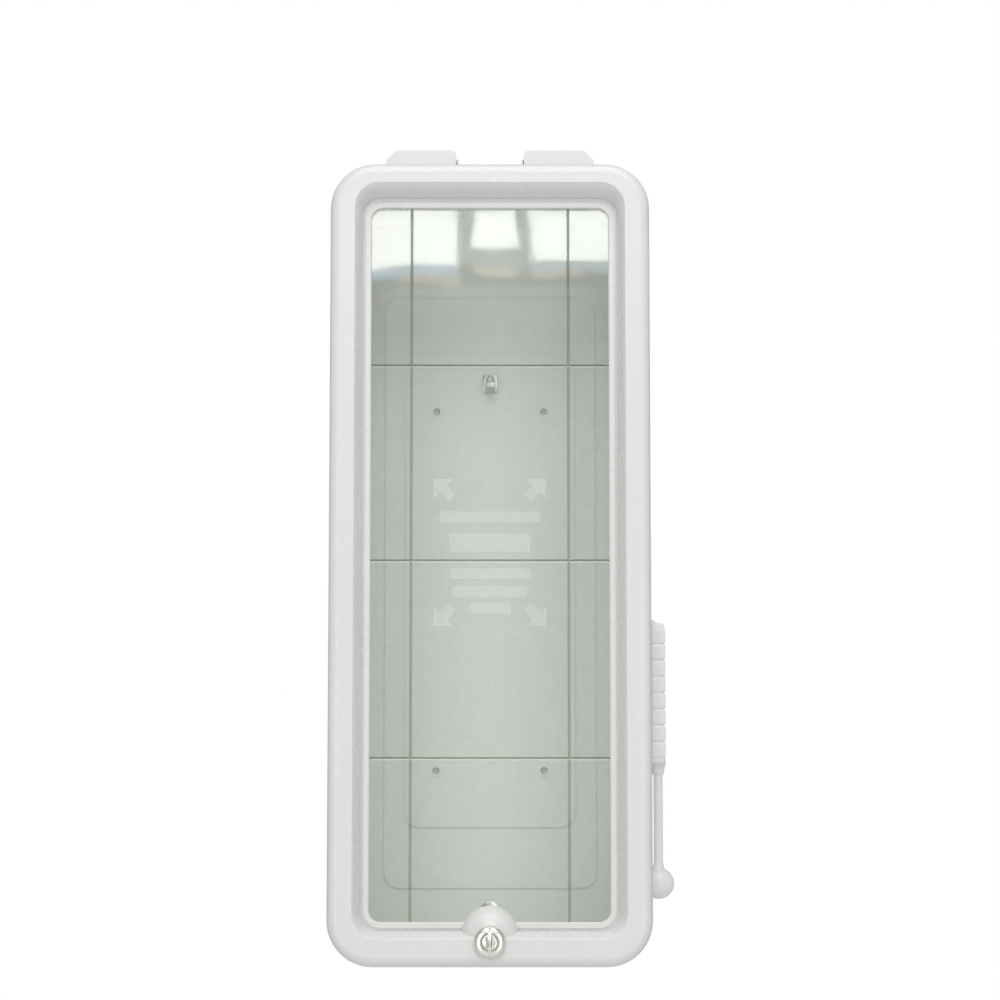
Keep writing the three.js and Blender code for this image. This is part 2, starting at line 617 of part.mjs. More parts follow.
function lockBarrel() {
  const bore = PLUG_RADIUS + RUN_GAP;
  const crown = quarter(4).map(([across, along]) => [
    LOCK_FACE_RADIUS - 3 * (1 - along), FACE_Y + 2.6 * across]);
  const outline = turned("y", [
    [bore, LOCK_BACK_Y],
    [bore, FACE_Y],
    ...crown,
    [LOCK_FACE_RADIUS, LOCK_SEAT_Y - TOUCH_GAP],
    [LOCK_BODY.radius, LOCK_SEAT_Y - TOUCH_GAP],
    [LOCK_BODY.radius, LOCK_BACK_Y],
    [bore, LOCK_BACK_Y],
  ], [0, LOCK_AXIS_Z], 32);
  const flats = [-1, 1].map((side) => block(
    spanX(side, LOCK_FLAT_X, LOCK_BODY.radius + 1),
    [LOCK_SEAT_Y, LOCK_BACK_Y + 1],
    [LOCK_AXIS_Z - 12, LOCK_AXIS_Z + 12]));
  return cut(outline, ...flats);
}

function lockWasher() {
  const from = LOCK_WALL_BACK_Y + TOUCH_GAP;
  return cut(
    bar("y", WASHER_RADIUS, from, from + WASHER.thickness, [0, LOCK_AXIS_Z]),
    bar("y", LOCK_BODY.radius + RUN_GAP, from - 1, from + 3, [0, LOCK_AXIS_Z]));
}

function lockNut() {
  const from = LOCK_WALL_BACK_Y + WASHER.thickness + 2 * TOUCH_GAP;
  const corner = NUT_FLAT_RADIUS / Math.cos(Math.PI / 6);
  return cut(
    bar("y", corner, from, from + NUT.thickness, [0, LOCK_AXIS_Z], 6),
    bar("y", LOCK_BODY.radius + RUN_GAP, from - 1, from + NUT.thickness + 1, [0, LOCK_AXIS_Z], 32));
}

function lockPlug() {
  const at = [0, LOCK_AXIS_Z];
  const core = bar("y", PLUG_RADIUS, FACE_Y + 0.3, LOCK_BACK_Y, at, 32);
  const shank = block([-SHANK / 2, SHANK / 2], [LOCK_BACK_Y - 1, CAM_BACK_Y + 0.4],
    [LOCK_AXIS_Z - SHANK / 2, LOCK_AXIS_Z + SHANK / 2]);
  const keyway = block([-KEYWAY.width / 2, KEYWAY.width / 2], [FACE_Y - 1, FACE_Y + KEYWAY.depth],
    [LOCK_AXIS_Z - KEYWAY.height / 2, LOCK_AXIS_Z + KEYWAY.height / 2]);
  const screwHole = bar("y", SCREW.shaft + RUN_GAP, CAM_BACK_Y - 7, CAM_BACK_Y + 1, at, 12);
  return cut(joined(core, shank), keyway, screwHole);
}

/** The cam points straight up when unlocked and turns behind the keeper. */
function cam() {
  const half = CAM.width / 2;
  const tipZ = LOCK_AXIS_Z + CAM.reach;
  const plate = extruded([
    [-half, LOCK_AXIS_Z - CAM.tail + 2],
    [-half + 2, LOCK_AXIS_Z - CAM.tail],
    [half - 2, LOCK_AXIS_Z - CAM.tail],
    [half, LOCK_AXIS_Z - CAM.tail + 2],
    [half, tipZ - 4],
    [half - 4, tipZ],
    [-half + 4, tipZ],
    [-half, tipZ - 4],
  ], "y", CAM_Y, CAM_BACK_Y);
  const eye = SHANK / 2 + TOUCH_GAP;
  return cut(plate, block([-eye, eye], [CAM_Y - 1, CAM_BACK_Y + 1],
    [LOCK_AXIS_Z - eye, LOCK_AXIS_Z + eye]));
}

function camScrew() {
  const headY = CAM_BACK_Y + 0.4 + TOUCH_GAP;
  const at = [0, LOCK_AXIS_Z];
  return joined(
    bar("y", SHANK / 2 + 2, headY, headY + 2.2, at, 16),
    bar("y", SCREW.shaft, headY - 6, headY + 1, at, 12));
}

function key() {
  const half = KEY.thickness / 2;
  const bowY = FACE_Y - KEY.bowReach;
  const blade = block([-half, half], [FACE_Y - 2, FACE_Y + KEYWAY.depth - 1.5],
    [LOCK_AXIS_Z - KEY.blade / 2, LOCK_AXIS_Z + KEY.blade / 2]);
  const neck = block([-half, half], [bowY, FACE_Y - 0.6],
    [LOCK_AXIS_Z - KEY.neck / 2, LOCK_AXIS_Z + KEY.neck / 2]);
  const bow = bar("x", KEY.bow, -half, half, [bowY, LOCK_AXIS_Z], 32);
  const eye = bar("x", 3.2, -half - 1, half + 1, [bowY - 5, LOCK_AXIS_Z], 16);
  const teeth = Array.from({ length: 5 }, (_, i) => {
    const y = FACE_Y + 5 + i * 3.4;
    const depth = 1 + ((i * 2) % 3) * 0.6;
    const top = LOCK_AXIS_Z + KEY.blade / 2;
    return extruded([[y - depth - 0.5, top + 0.5], [y, top - depth], [y + depth + 0.5, top + 0.5]],
      "x", -half - 1, half + 1);
  });
  return cut(joined(blade, neck, bow), eye, ...teeth);
}

function keeperScrewPlaces() {
  const y = KEEPER_BACK_Y - KEEPER.thickness + KEEPER.foot - 7;
  return [KEEPER.from + 6, KEEPER.to - 6].map((x) => [x, y]);
}

/** An angle plate on the box's floor whose upright stands in front of the turned cam. */
function keeper() {
  const low = BOX_BOTTOM + BOX_WALL + TOUCH_GAP;
  const front = KEEPER_BACK_Y - KEEPER.thickness;
  const angle = extruded([
    [front, low],
    [front + KEEPER.foot, low],
    [front + KEEPER.foot, low + KEEPER.thickness],
    [KEEPER_BACK_Y, low + KEEPER.thickness],
    [KEEPER_BACK_Y, low + KEEPER.rise],
    [front, low + KEEPER.rise],
  ], "x", KEEPER.from, KEEPER.to);
  const holes = keeperScrewPlaces().map((at) =>
    bar("z", SCREW.shaft + RUN_GAP, low - 1, low + KEEPER.thickness + 1, at, 12));
  return cut(angle, ...holes);
}

// ---------------------------------------------------------------- hammer

function hammerHandle() {
  const half = GRIP.thickness / 2;
  const pitch = (GRIP_TOP - GRIP_BOTTOM - 5) / GRIP.blocks;
  const outer = [];
  for (let i = 0; i < GRIP.blocks; i += 1) {
    const high = GRIP_TOP - i * pitch;
    const low = high - pitch + GRIP.groove;
    outer.push([half, high], [half, low], [half - GRIP.grooveDepth, low - 0.3]);
    if (i < GRIP.blocks - 1) outer.push([half - GRIP.grooveDepth, low - GRIP.groove + 0.3]);
  }
  const profile = [
    [-half, GRIP_TOP + 6],
    [-half + 2, GRIP_TOP + 7],
    ...outer,
    [half - 2.5, GRIP_BOTTOM],
    [-half + 2.5, GRIP_BOTTOM],
    [-half, GRIP_BOTTOM + 3],
  ];
  const body = extruded(
    profile.map(([x, z]) => [-(HAMMER_X + x), z]), "y",
    HAMMER_Y - GRIP.depth / 2, HAMMER_Y + GRIP.depth / 2);
  const spine = block([BOX_X + CLIP.base + 2 * TOUCH_GAP + 0.3, HAMMER_X - GRIP.thickness / 2 + SPINE.sunk],
    [HAMMER_Y - SPINE.thickness / 2, HAMMER_Y + SPINE.thickness / 2], [SPINE_BOTTOM, SPINE_TOP]);
  const collar = turned("z", [
    [0, GRIP_BOTTOM - 8],
    [SHAFT_RADIUS + 1.2, GRIP_BOTTOM - 8],
    [SHAFT_RADIUS + 2, GRIP_BOTTOM],
    [0, GRIP_BOTTOM + 1],
  ], [HAMMER_X, HAMMER_Y], 20);
  const socket = bar("z", SHAFT_RADIUS + RUN_GAP, GRIP_BOTTOM - 9, GRIP_BOTTOM + SHAFT_SOCKET,
    [HAMMER_X, HAMMER_Y], 20);
  return cut(joined(body, spine, collar), socket);
}

/** The striking end: a bar with a ball, and a flare where the two meet. */
function hammerShaft() {
  const top = GRIP_BOTTOM + SHAFT_SOCKET - TOUCH_GAP;
  const steps = 10;
  const neck = SHAFT_RADIUS + 1.4;
  const start = Math.asin(neck / BALL_RADIUS);
  const ball = Array.from({ length: steps + 1 }, (_, i) => {
    const angle = start + (Math.PI - start) * (i / steps);
    return [BALL_RADIUS * Math.sin(angle), BALL_Z + BALL_RADIUS * Math.cos(angle)];
  });
  ball[steps][0] = 0;
  const flareZ = BALL_Z + BALL_RADIUS * Math.cos(start) + 8;
  return turned("z", [[0, top], [SHAFT_RADIUS, top], [SHAFT_RADIUS, flareZ], ...ball],
    [HAMMER_X, HAMMER_Y], 20);
}

/** The two clips: the jaws' middle height, the way the plate runs on, and the screw's height. */
function hammerClips() {
  const upperZ = SPINE_TOP - 11;
  const lowerZ = SPINE_BOTTOM + 11;
  return [
    { name: "upper", z: upperZ, way: 1, screwZ: upperZ + CLIP.height / 2 + CLIP.tab - 6 },
    { name: "lower", z: lowerZ, way: -1, screwZ: lowerZ - CLIP.height / 2 - CLIP.tab + 6 },
  ];
}

function hammerClip({ z, way, screwZ }) {
  const from = BOX_X + TOUCH_GAP;
  const half = CLIP.height / 2;
  const jawEnd = HAMMER_X - GRIP.thickness / 2 - CLIP.jawGap;
  const span = way > 0 ? [z - half, z + half + CLIP.tab] : [z - half - CLIP.tab, z + half];
  const plate = block([from, from + CLIP.base],
    [HAMMER_Y - CLIP.width / 2, HAMMER_Y + CLIP.width / 2], span);
  const jaws = [-1, 1].map((side) => {
    const near = SPINE.thickness / 2 + TOUCH_GAP;
    const [y0, y1] = spanX(side, near, near + CLIP.jaw);
    return block([from, jawEnd], [HAMMER_Y + y0, HAMMER_Y + y1], [z - half, z + half]);
  });
  const hole = bar("x", SCREW.shaft + RUN_GAP, from - 1, from + 5, [HAMMER_Y, screwZ], 12);
  return cut(joined(plate, ...jaws), hole);
}

// ---------------------------------------------------------------- extinguisher hook

function extinguisherHook() {
  const y = PAD_Y - TOUCH_GAP;
  const low = HOOK_Z - HOOK.height / 2;
  const plate = block([-HOOK.width / 2, HOOK.width / 2], [y - HOOK.sheet, y],
    [low, HOOK_Z + HOOK.height / 2]);
  const arm = extruded([
    [y, low],
    [y, low + 3],
    [y - HOOK.arm + 3, low + 3],
    [y - HOOK.arm + 3, low + HOOK.tip],
    [y - HOOK.arm, low + HOOK.tip],
    [y - HOOK.arm, low + 3],
    [y - HOOK.arm + 3, low],
  ], "x", -HOOK.armWidth / 2, HOOK.armWidth / 2);
  const hole = bar("y", SCREW.shaft + RUN_GAP, y - 5, y + 1, [0, HOOK_Z + HOOK.height / 4], 12);
  return cut(joined(plate, arm), hole);
}

// ---------------------------------------------------------------- the assembly
const SIDES = [["left", -1], ["right", 1]];

piece("back_box", backBox(), "whitePlastic");
SIDES.forEach(([name, side]) => {
  piece(`hinge_bracket_${name}`, hingeBracket(side), "whitePlastic");
  piece(`hinge_pin_${name}`, hingePin(side), "zinc");
});
bracketScrewPlaces().forEach((at, i) => {
  const headZ = BOX_TOP + BRACKET.thickness + 2 * TOUCH_GAP;
  piece(`bracket_screw_${i + 1}`, screw("z", headZ, 1, 8, at), "zinc");
});
piece("lock_keeper", keeper(), "zinc");
keeperScrewPlaces().forEach((at, i) => {
  const headZ = BOX_BOTTOM + BOX_WALL + KEEPER.thickness + 2 * TOUCH_GAP;
  piece(`keeper_screw_${i + 1}`, screw("z", headZ, 1, 5, at), "zinc");
});
piece("extinguisher_hook", extinguisherHook(), "zinc");
piece("hook_screw",
  screw("y", PAD_Y - HOOK.sheet - 2 * TOUCH_GAP, -1, 8, [0, HOOK_Z + HOOK.height / 4]), "zinc");
hammerClips().forEach((clip) => {
  const headX = BOX_X + CLIP.base + 2 * TOUCH_GAP;
  piece(`hammer_clip_${clip.name}`, hammerClip(clip), "whitePlastic");
  piece(`hammer_clip_screw_${clip.name}`, screw("x", headX, 1, 5, [HAMMER_Y, clip.screwZ]), "zinc");
});

piece("door_frame", doorFrame(), "whitePlastic");
piece("clear_panel", clearPanel(), "acrylic");
clipPlaces().forEach((place) => {
  const headY = CLIP_Y + CLIP_PLATE.thickness + TOUCH_GAP;
  piece(`panel_clip_${place.name}`, panelClip(place), "whitePlastic");
  piece(`panel_clip_screw_${place.name}`, screw("y", headY, 1, 12, place.at), "zinc");
});
SIDES.forEach(([name, side]) => piece(`door_bumper_${name}`, bumper(side), "rubber"));
piece("lock_barrel", lockBarrel(), "nickel");
piece("lock_washer", lockWasher(), "zinc");
piece("lock_nut", lockNut(), "zinc");
piece("lock_plug", lockPlug(), "nickel");
piece("lock_cam", cam(), "zinc");
piece("cam_screw", camScrew(), "zinc");
piece("key", key(), "nickel");
piece("hammer_handle", hammerHandle(), "whitePlastic");
piece("hammer_shaft", hammerShaft(), "whitePlastic");

export default cabinet;
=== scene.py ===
"""Finishes, fine pieces, studio and camera for the extinguisher cabinet."""
import json
import logging
import math
from dataclasses import dataclass, field
from enum import Enum
from typing import Callable, Iterable, Sequence

import bpy
from mathutils import Matrix, Vector


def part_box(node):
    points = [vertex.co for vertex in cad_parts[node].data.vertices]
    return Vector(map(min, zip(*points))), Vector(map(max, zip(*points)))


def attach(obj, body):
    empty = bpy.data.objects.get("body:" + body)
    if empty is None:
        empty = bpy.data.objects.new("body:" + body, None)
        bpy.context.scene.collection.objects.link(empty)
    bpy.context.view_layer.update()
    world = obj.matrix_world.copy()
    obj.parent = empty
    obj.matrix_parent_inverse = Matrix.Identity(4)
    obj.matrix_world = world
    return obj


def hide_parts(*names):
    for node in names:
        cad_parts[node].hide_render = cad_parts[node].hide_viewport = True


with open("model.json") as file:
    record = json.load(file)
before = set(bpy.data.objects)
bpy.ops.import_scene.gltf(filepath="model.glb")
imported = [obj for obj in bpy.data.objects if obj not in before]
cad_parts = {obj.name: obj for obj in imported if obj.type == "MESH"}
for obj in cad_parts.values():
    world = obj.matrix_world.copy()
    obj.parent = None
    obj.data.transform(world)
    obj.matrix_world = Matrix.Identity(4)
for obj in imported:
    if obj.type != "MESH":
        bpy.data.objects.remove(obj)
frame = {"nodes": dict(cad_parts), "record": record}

LOG = logging.getLogger("cabinet")
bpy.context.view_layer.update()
MM = 0.001

Colour = tuple[float, float, float]


class Axis(Enum):
    """The direction that a turned piece or a screw points in."""

    X = Vector((1, 0, 0))
    Y = Vector((0, 1, 0))
    Z = Vector((0, 0, 1))
    BACK_Y = Vector((0, -1, 0))


class Body(Enum):
    """The moving bodies, by the names that the record gives them."""

    CABINET = "cabinet"
    DOOR = "door"
    LOCK_CORE = "lock_core"
    KEY = "key_body"
    HAMMER = "hammer"


# ---------------------------------------------------------------- finishes


class Graph:
    """The node graph of one material, with a Principled shader at its end."""

    def __init__(self, name: str) -> None:
        """Starts an empty material with its shader and output.

        Args:
            name: The material's name.
        """
        self.material = bpy.data.materials.new(name)
        self.material.use_nodes = True
        self.nodes = self.material.node_tree.nodes
        self.links = self.material.node_tree.links
        self.nodes.clear()
        self.output = self.nodes.new("ShaderNodeOutputMaterial")
        self.shader = self.nodes.new("ShaderNodeBsdfPrincipled")
        self.links.new(self.shader.outputs[0], self.output.inputs["Surface"])
        self.place = self.nodes.new("ShaderNodeTexCoord").outputs["Object"]

    def set(self, **values: float | Colour) -> None:
        """Sets the shader's own sockets.

        Args:
            values: Socket names, with underscores for spaces, and what they hold.
        """
        for name, value in values.items():
            socket = self.shader.inputs[name.replace("_", " ")]
            socket.default_value = (*value, 1.0) if isinstance(value, tuple) else value

    def drive(self, name: str, source: bpy.types.NodeSocket) -> None:
        """Feeds one of the shader's sockets from a node.

        Args:
            name: The shader's socket.
            source: The node socket that feeds it.
        """
        self.links.new(source, self.shader.inputs[name])

    def noise(self, scale: float, detail: float = 3.0, roughness: float = 0.5,
              stretch: Sequence[float] = (1, 1, 1)) -> bpy.types.NodeSocket:
        """Adds a noise pattern on the object's own coordinates.

        Args:
            scale: Cycles a metre.
            detail: Octaves.
            roughness: How strong the finer octaves are.
            stretch: A factor on each axis, for drawn or brushed patterns.

        Returns:
            The noise's value socket.
        """
        mapping = self.nodes.new("ShaderNodeMapping")
        mapping.inputs["Scale"].default_value = stretch
        texture = self.nodes.new("ShaderNodeTexNoise")
        texture.inputs["Scale"].default_value = scale
        texture.inputs["Detail"].default_value = detail
        texture.inputs["Roughness"].default_value = roughness
        self.links.new(self.place, mapping.inputs["Vector"])
        self.links.new(mapping.outputs[0], texture.inputs["Vector"])
        return texture.outputs["Fac"]

    def spread(self, source: bpy.types.NodeSocket, low: float, high: float,
               from_low: float = 0.3, from_high: float = 0.7) -> bpy.types.NodeSocket:
        """Maps a pattern's middle range onto a range of values.

        Args:
            source: The pattern.
            low: Value at the pattern's low end.
            high: Value at its high end.
            from_low: The pattern's low end.
            from_high: The pattern's high end.

        Returns:
            The mapped value socket.
        """
        node = self.nodes.new("ShaderNodeMapRange")
        settings = (from_low, from_high, low, high)
        for name, value in zip(("From Min", "From Max", "To Min", "To Max"), settings):
            node.inputs[name].default_value = value
        self.links.new(source, node.inputs["Value"])
        return node.outputs["Result"]

    def mix(self, factor: bpy.types.NodeSocket, first: Colour | bpy.types.NodeSocket,
            second: Colour) -> bpy.types.NodeSocket:
        """Blends two colours by a pattern.

        Args:
            factor: 0 for the first colour, 1 for the second.
            first: The first colour, or a socket that gives it.
            second: The second colour.

        Returns:
            The blended colour socket.
        """
        node = self.nodes.new("ShaderNodeMix")
        node.data_type = "RGBA"
        colours = [socket for socket in node.inputs if socket.type == "RGBA"]
        if isinstance(first, tuple):
            colours[0].default_value = (*first, 1.0)
        else:
            self.links.new(first, colours[0])
        colours[1].default_value = (*second, 1.0)
        self.links.new(factor, node.inputs["Factor"])
        return next(socket for socket in node.outputs if socket.type == "RGBA")

    def mottle(self, scale: float, detail: float, first: Colour, second: Colour) -> None:
        """Paints the material in patches of two colours.

        Args:
            scale: Cycles a metre.
            detail: Octaves.
            first: The first colour.
            second: The second colour.
        """
        pattern = self.spread(self.noise(scale, detail), 0, 1)
        self.drive("Base Color", self.mix(pattern, first, second))

    def maths(self, operation: str, first: bpy.types.NodeSocket,
              *others: bpy.types.NodeSocket | float) -> bpy.types.NodeSocket:
        """Adds one sum.

        Args:
            operation: The kind of sum.
            first: Its first value's socket.
            others: Its other values, each a socket or a number.

        Returns:
            The result's socket.
        """
        node = self.nodes.new("ShaderNodeMath")
        node.operation = operation
        self.links.new(first, node.inputs[0])
        for index, value in enumerate(others, 1):
            if isinstance(value, float):
                node.inputs[index].default_value = value
            else:
                self.links.new(value, node.inputs[index])
        return node.outputs[0]

    def blend(self, factor: bpy.types.NodeSocket, first: bpy.types.NodeSocket,
              second: bpy.types.NodeSocket) -> bpy.types.NodeSocket:
        """Mixes two shaders.

        Args:
            factor: 0 for the first shader, 1 for the second.
            first: The first shader's socket.
            second: The second shader's socket.

        Returns:
            The mixed shader's socket.
        """
        node = self.nodes.new("ShaderNodeMixShader")
        for index, source in enumerate((factor, first, second)):
            self.links.new(source, node.inputs[index])
        return node.outputs[0]

    def edges(self) -> bpy.types.NodeSocket:
        """Returns a socket that is near 1 on convex edges and 0 elsewhere."""
        geometry = self.nodes.new("ShaderNodeNewGeometry")
        return self.spread(geometry.outputs["Pointiness"], 0.0, 1.0, 0.52, 0.62)

    def bump(self, height: bpy.types.NodeSocket, strength: float, distance: float,
             under: bpy.types.NodeSocket | None = None) -> bpy.types.NodeSocket:
        """Adds relief.

        Args:
            height: The pattern taken as height.
            strength: How much of it shows.
            distance: Its depth in metres.
            under: Another bump's normal that this one lies on.

        Returns:
            The bumped normal socket.
        """
        node = self.nodes.new("ShaderNodeBump")
        node.inputs["Strength"].default_value = strength
        node.inputs["Distance"].default_value = distance
        self.links.new(height, node.inputs["Height"])
        if under is not None:
            self.links.new(under, node.inputs["Normal"])
        return node.outputs["Normal"]


@dataclass(frozen=True)
class MouldedPlastic:
    """Glossy moulded plastic with a slight ripple in its skin and a faint dusty tint in random
    patches.
    """

    name: str = "white_plastic"
    colour: Colour = (0.775, 0.775, 0.762)
    dusty: Colour = (0.755, 0.755, 0.740)
    gloss: tuple[float, float] = (0.22, 0.34)
    ripple: float = 0.16

    def build(self) -> bpy.types.Material:
        """Returns the material."""
        graph = Graph(self.name)
        graph.set(IOR=1.52, Coat_Weight=0.15, Coat_Roughness=0.12)
        tint = graph.spread(graph.noise(7, 5, 0.6), 0.0, 1.0, 0.42, 0.78)
        graph.drive("Base Color", graph.mix(tint, self.colour, self.dusty))
        graph.drive("Roughness", graph.spread(graph.noise(34, 4, 0.62), *self.gloss))
        ripple = graph.bump(graph.noise(95, 2, 0.4), self.ripple, 0.0006)
        graph.drive("Normal", graph.bump(graph.noise(1400, 2, 0.5), 0.05, 0.0001, ripple))
        return graph.material


@dataclass(frozen=True)
class ClearAcrylic:
    """Thin clear sheet with a green cast, smudges and fine rub marks; painted shade on its groove
    walls and a painted highlight on walls that face up.
    """

    name: str = "clear_acrylic"
    tint: Colour = (0.983, 0.994, 0.977)
    tint_deep: Colour = (0.976, 0.989, 0.970)
    # painted shade: dark tints for groove walls that face sideways and for walls that face down
    groove_painted_shade: Colour = (0.62, 0.68, 0.62)
    downward_painted_shade: Colour = (0.36, 0.41, 0.34)
    # painted highlight: how much pale haze the walls that face up get, and the haze colour that makes
    # them read lighter
    lit_edge: float = 0.45
    haze_and_painted_highlight: Colour = (0.66, 0.74, 0.66)
    head_on: float = 0.04

    def build(self) -> bpy.types.Material:
        """Returns the material: clear and tinted, with a mirror-like skin that grows at low angles."""
        graph = Graph(self.name)
        graph.set(Base_Color=self.haze_and_painted_highlight, IOR=1.49, Specular_IOR_Level=0.5)
        graph.drive("Roughness", graph.spread(graph.noise(22, 5, 0.6), 0.015, 0.05))
        ripple = graph.bump(graph.noise(16, 2, 0.4), 0.10, 0.0012)
        fine = graph.bump(graph.noise(260, 3, 0.5, (1, 1, 0.15)), 0.03, 0.0002, ripple)
        graph.drive("Normal", fine)
        facet = graph.nodes.new("ShaderNodeSeparateXYZ")
        geometry = graph.nodes.new("ShaderNodeNewGeometry")
        graph.links.new(geometry.outputs["True Normal"], facet.inputs[0])
        across = graph.maths("ABSOLUTE", facet.outputs["X"])
        level = graph.maths("MULTIPLY", facet.outputs["Z"], -1.0)
        tint = graph.mix(graph.noise(5, 3), self.tint, self.tint_deep)
        # painted shade: groove walls that face sideways are tinted dark green
        tint = graph.mix(graph.spread(across, 0, 1, 0.3, 0.4), tint, self.groove_painted_shade)
        # painted shade: walls that face down are tinted darker still
        tint = graph.mix(graph.spread(level, 0, 1, 0.3, 0.4), tint, self.downward_painted_shade)
        clear = graph.nodes.new("ShaderNodeBsdfTransparent")
        graph.links.new(tint, clear.inputs["Color"])
        gloss = graph.nodes.new("ShaderNodeBsdfGlossy")
        gloss.inputs["Roughness"].default_value = 0.03
        graph.links.new(fine, gloss.inputs["Normal"])
        facing = graph.nodes.new("ShaderNodeLayerWeight")
        facing.inputs["Blend"].default_value = 0.5
        steep = graph.maths("POWER", facing.outputs["Facing"], 5.0)
        mirror = graph.maths("MULTIPLY_ADD", steep, 1.0 - self.head_on, self.head_on)
        # painted highlight: walls that face up get more of the pale haze shader
        edge = graph.spread(facet.outputs["Z"], 0, self.lit_edge, 0.3, 0.4)
        # this mask holds a random milky haze and the painted highlight on walls that face up
        film = graph.maths("MAXIMUM", graph.spread(graph.noise(9, 6, 0.65), 0.01, 0.04), edge)
        milk_and_painted_highlight = graph.blend(film, clear.outputs[0], graph.shader.outputs[0])
        skin = graph.blend(mirror, milk_and_painted_highlight, gloss.outputs[0])
        graph.links.new(skin, graph.output.inputs["Surface"])
        return graph.material


@dataclass(frozen=True)
class PlatedMetal:
    """Plated metal with drawn marks, worn edges and uneven shine."""

    name: str
    colour: Colour
    dull: Colour
    gloss: tuple[float, float] = (0.18, 0.34)
    grain: float = 900.0
    stretch: tuple[float, float, float] = (1, 1, 1)
    worn: Colour = (0.86, 0.85, 0.82)

    def build(self) -> bpy.types.Material:
        """Returns the material."""
        graph = Graph(self.name)
        graph.set(Metallic=1.0)
        patchy = graph.spread(graph.noise(60, 5, 0.6), 0.0, 1.0)
        base = graph.mix(patchy, self.colour, self.dull)
        graph.drive("Base Color", graph.mix(graph.edges(), base, self.worn))
        graph.drive("Roughness", graph.spread(graph.noise(150, 4, 0.6), *self.gloss))
        graph.drive("Normal", graph.bump(graph.noise(self.grain, 3, 0.6, self.stretch), 0.18, 0.00012))
        return graph.material


@dataclass(frozen=True)
class MouldedRubber:
    """Matte black rubber with a pitted skin."""

    name: str = "bumper_rubber"
    colour: Colour = (0.022, 0.022, 0.024)
    grey: Colour = (0.05, 0.05, 0.052)

    def build(self) -> bpy.types.Material:
        """Returns the material."""
        graph = Graph(self.name)
        graph.mottle(160, 4, self.colour, self.grey)
        graph.drive("Roughness", graph.spread(graph.noise(400, 3), 0.6, 0.85))
        graph.drive("Normal", graph.bump(graph.noise(2200, 3), 0.3, 0.0001))
        return graph.material


@dataclass(frozen=True)
class PrintedInk:
    """Thin white screen-printed ink with pinholes and soft density."""

    name: str = "legend_ink"
    colour: Colour = (0.86, 0.88, 0.86)
    thin: Colour = (0.74, 0.79, 0.74)
    density: tuple[float, float] = (0.13, 0.25)

    def build(self) -> bpy.types.Material:
        """Returns the material."""
        graph = Graph(self.name)
        graph.mottle(300, 4, self.colour, self.thin)
        graph.drive("Roughness", graph.spread(graph.noise(500, 2), 0.35, 0.6))
        graph.drive("Normal", graph.bump(graph.noise(1800, 3), 0.12, 0.00005))
        graph.drive("Alpha", graph.spread(graph.noise(700, 4, 0.6), *self.density))
        return graph.material


@dataclass(frozen=True)
class StudioFloor:
    """Pale seamless paper."""

    name: str = "studio_paper"
    colour: Colour = (0.90, 0.90, 0.90)
    shade: Colour = (0.86, 0.86, 0.86)

    def build(self) -> bpy.types.Material:
        """Returns the material."""
        graph = Graph(self.name)
        graph.mottle(3, 4, self.colour, self.shade)
        graph.drive("Roughness", graph.spread(graph.noise(60, 3), 0.75, 0.9))
        return graph.material


@dataclass
class Finishes:
    """Every finish of the cabinet, built once and shared."""

    white: bpy.types.Material = field(default_factory=lambda: MouldedPlastic().build())
    acrylic: bpy.types.Material = field(default_factory=lambda: ClearAcrylic().build())
    nickel: bpy.types.Material = field(default_factory=lambda: PlatedMetal(
        "nickel_plate", (0.90, 0.885, 0.81), (0.82, 0.81, 0.74)).build())
    zinc: bpy.types.Material = field(default_factory=lambda: PlatedMetal(
        "zinc_steel", (0.60, 0.61, 0.63), (0.50, 0.51, 0.53), gloss=(0.28, 0.45)).build())
    rubber: bpy.types.Material = field(default_factory=lambda: MouldedRubber().build())
    ink: bpy.types.Material = field(default_factory=lambda: PrintedInk().build())
    # A lighter copy of the white plastic; its extra brightness is painted light that makes up for the
    # shade on the back box, the hammer and its clips.
    bright: bpy.types.Material = field(default_factory=lambda: MouldedPlastic(
        "painted_light_plastic", (0.910, 0.915, 0.898), (0.898, 0.903, 0.884)).build())

    def of(self, slot: str) -> bpy.types.Material:
        """Returns the finish of one of the record's material slots.

        Args:
            slot: The slot's name in the record.
        """
        return {
            "white_plastic": self.white,
            "clear_acrylic": self.acrylic,
            "nickel_plate": self.nickel,
            "zinc_steel": self.zinc,
            "bumper_rubber": self.rubber,
        }[slot]


# ---------------------------------------------------------------- the bench: how pieces are made


def deselect() -> None:
    """Leaves nothing selected and nothing active, in object mode."""
    if bpy.context.object is not None and bpy.context.object.mode != "OBJECT":
        bpy.ops.object.mode_set(mode="OBJECT")
    for thing in list(bpy.context.selected_objects):
        thing.select_set(False)


def take(thing: bpy.types.Object) -> None:
    """Selects one object alone and makes it active.

    Args:
        thing: The object.
    """
    deselect()
    thing.select_set(True)
    bpy.context.view_layer.objects.active = thing


def added(operator: Callable[..., set[str]], name: str, **settings: object) -> bpy.types.Object:
    """Adds a primitive and names it.

    Args:
        operator: One of bpy.ops.mesh's primitive operators.
        name: The new object's name.
        settings: The operator's settings.

    Returns:
        The new object, selected and active.
    """
    deselect()
    operator(**settings)
    thing = bpy.context.object
    thing.name = name
    thing.data.name = name
    return thing


def settle(thing: bpy.types.Object) -> bpy.types.Object:
    """Applies an object's place, turn and size to its mesh.

    Args:
        thing: The object.

    Returns:
        The same object, at the origin.
    """
    take(thing)
    bpy.ops.object.transform_apply(location=True, rotation=True, scale=True)
    return thing


def brick(name: str, low: Sequence[float], high: Sequence[float]) -> bpy.types.Object:
    """Adds a block between two corners.

    Args:
        name: The block's name.
        low: Its lowest corner in metres.
        high: Its highest corner in metres.

    Returns:
        The block, settled.
    """
    middle = (Vector(low) + Vector(high)) / 2
    size = Vector(high) - Vector(low)
    block = added(bpy.ops.mesh.primitive_cube_add, name, size=1, location=middle, scale=size)
    return settle(block)


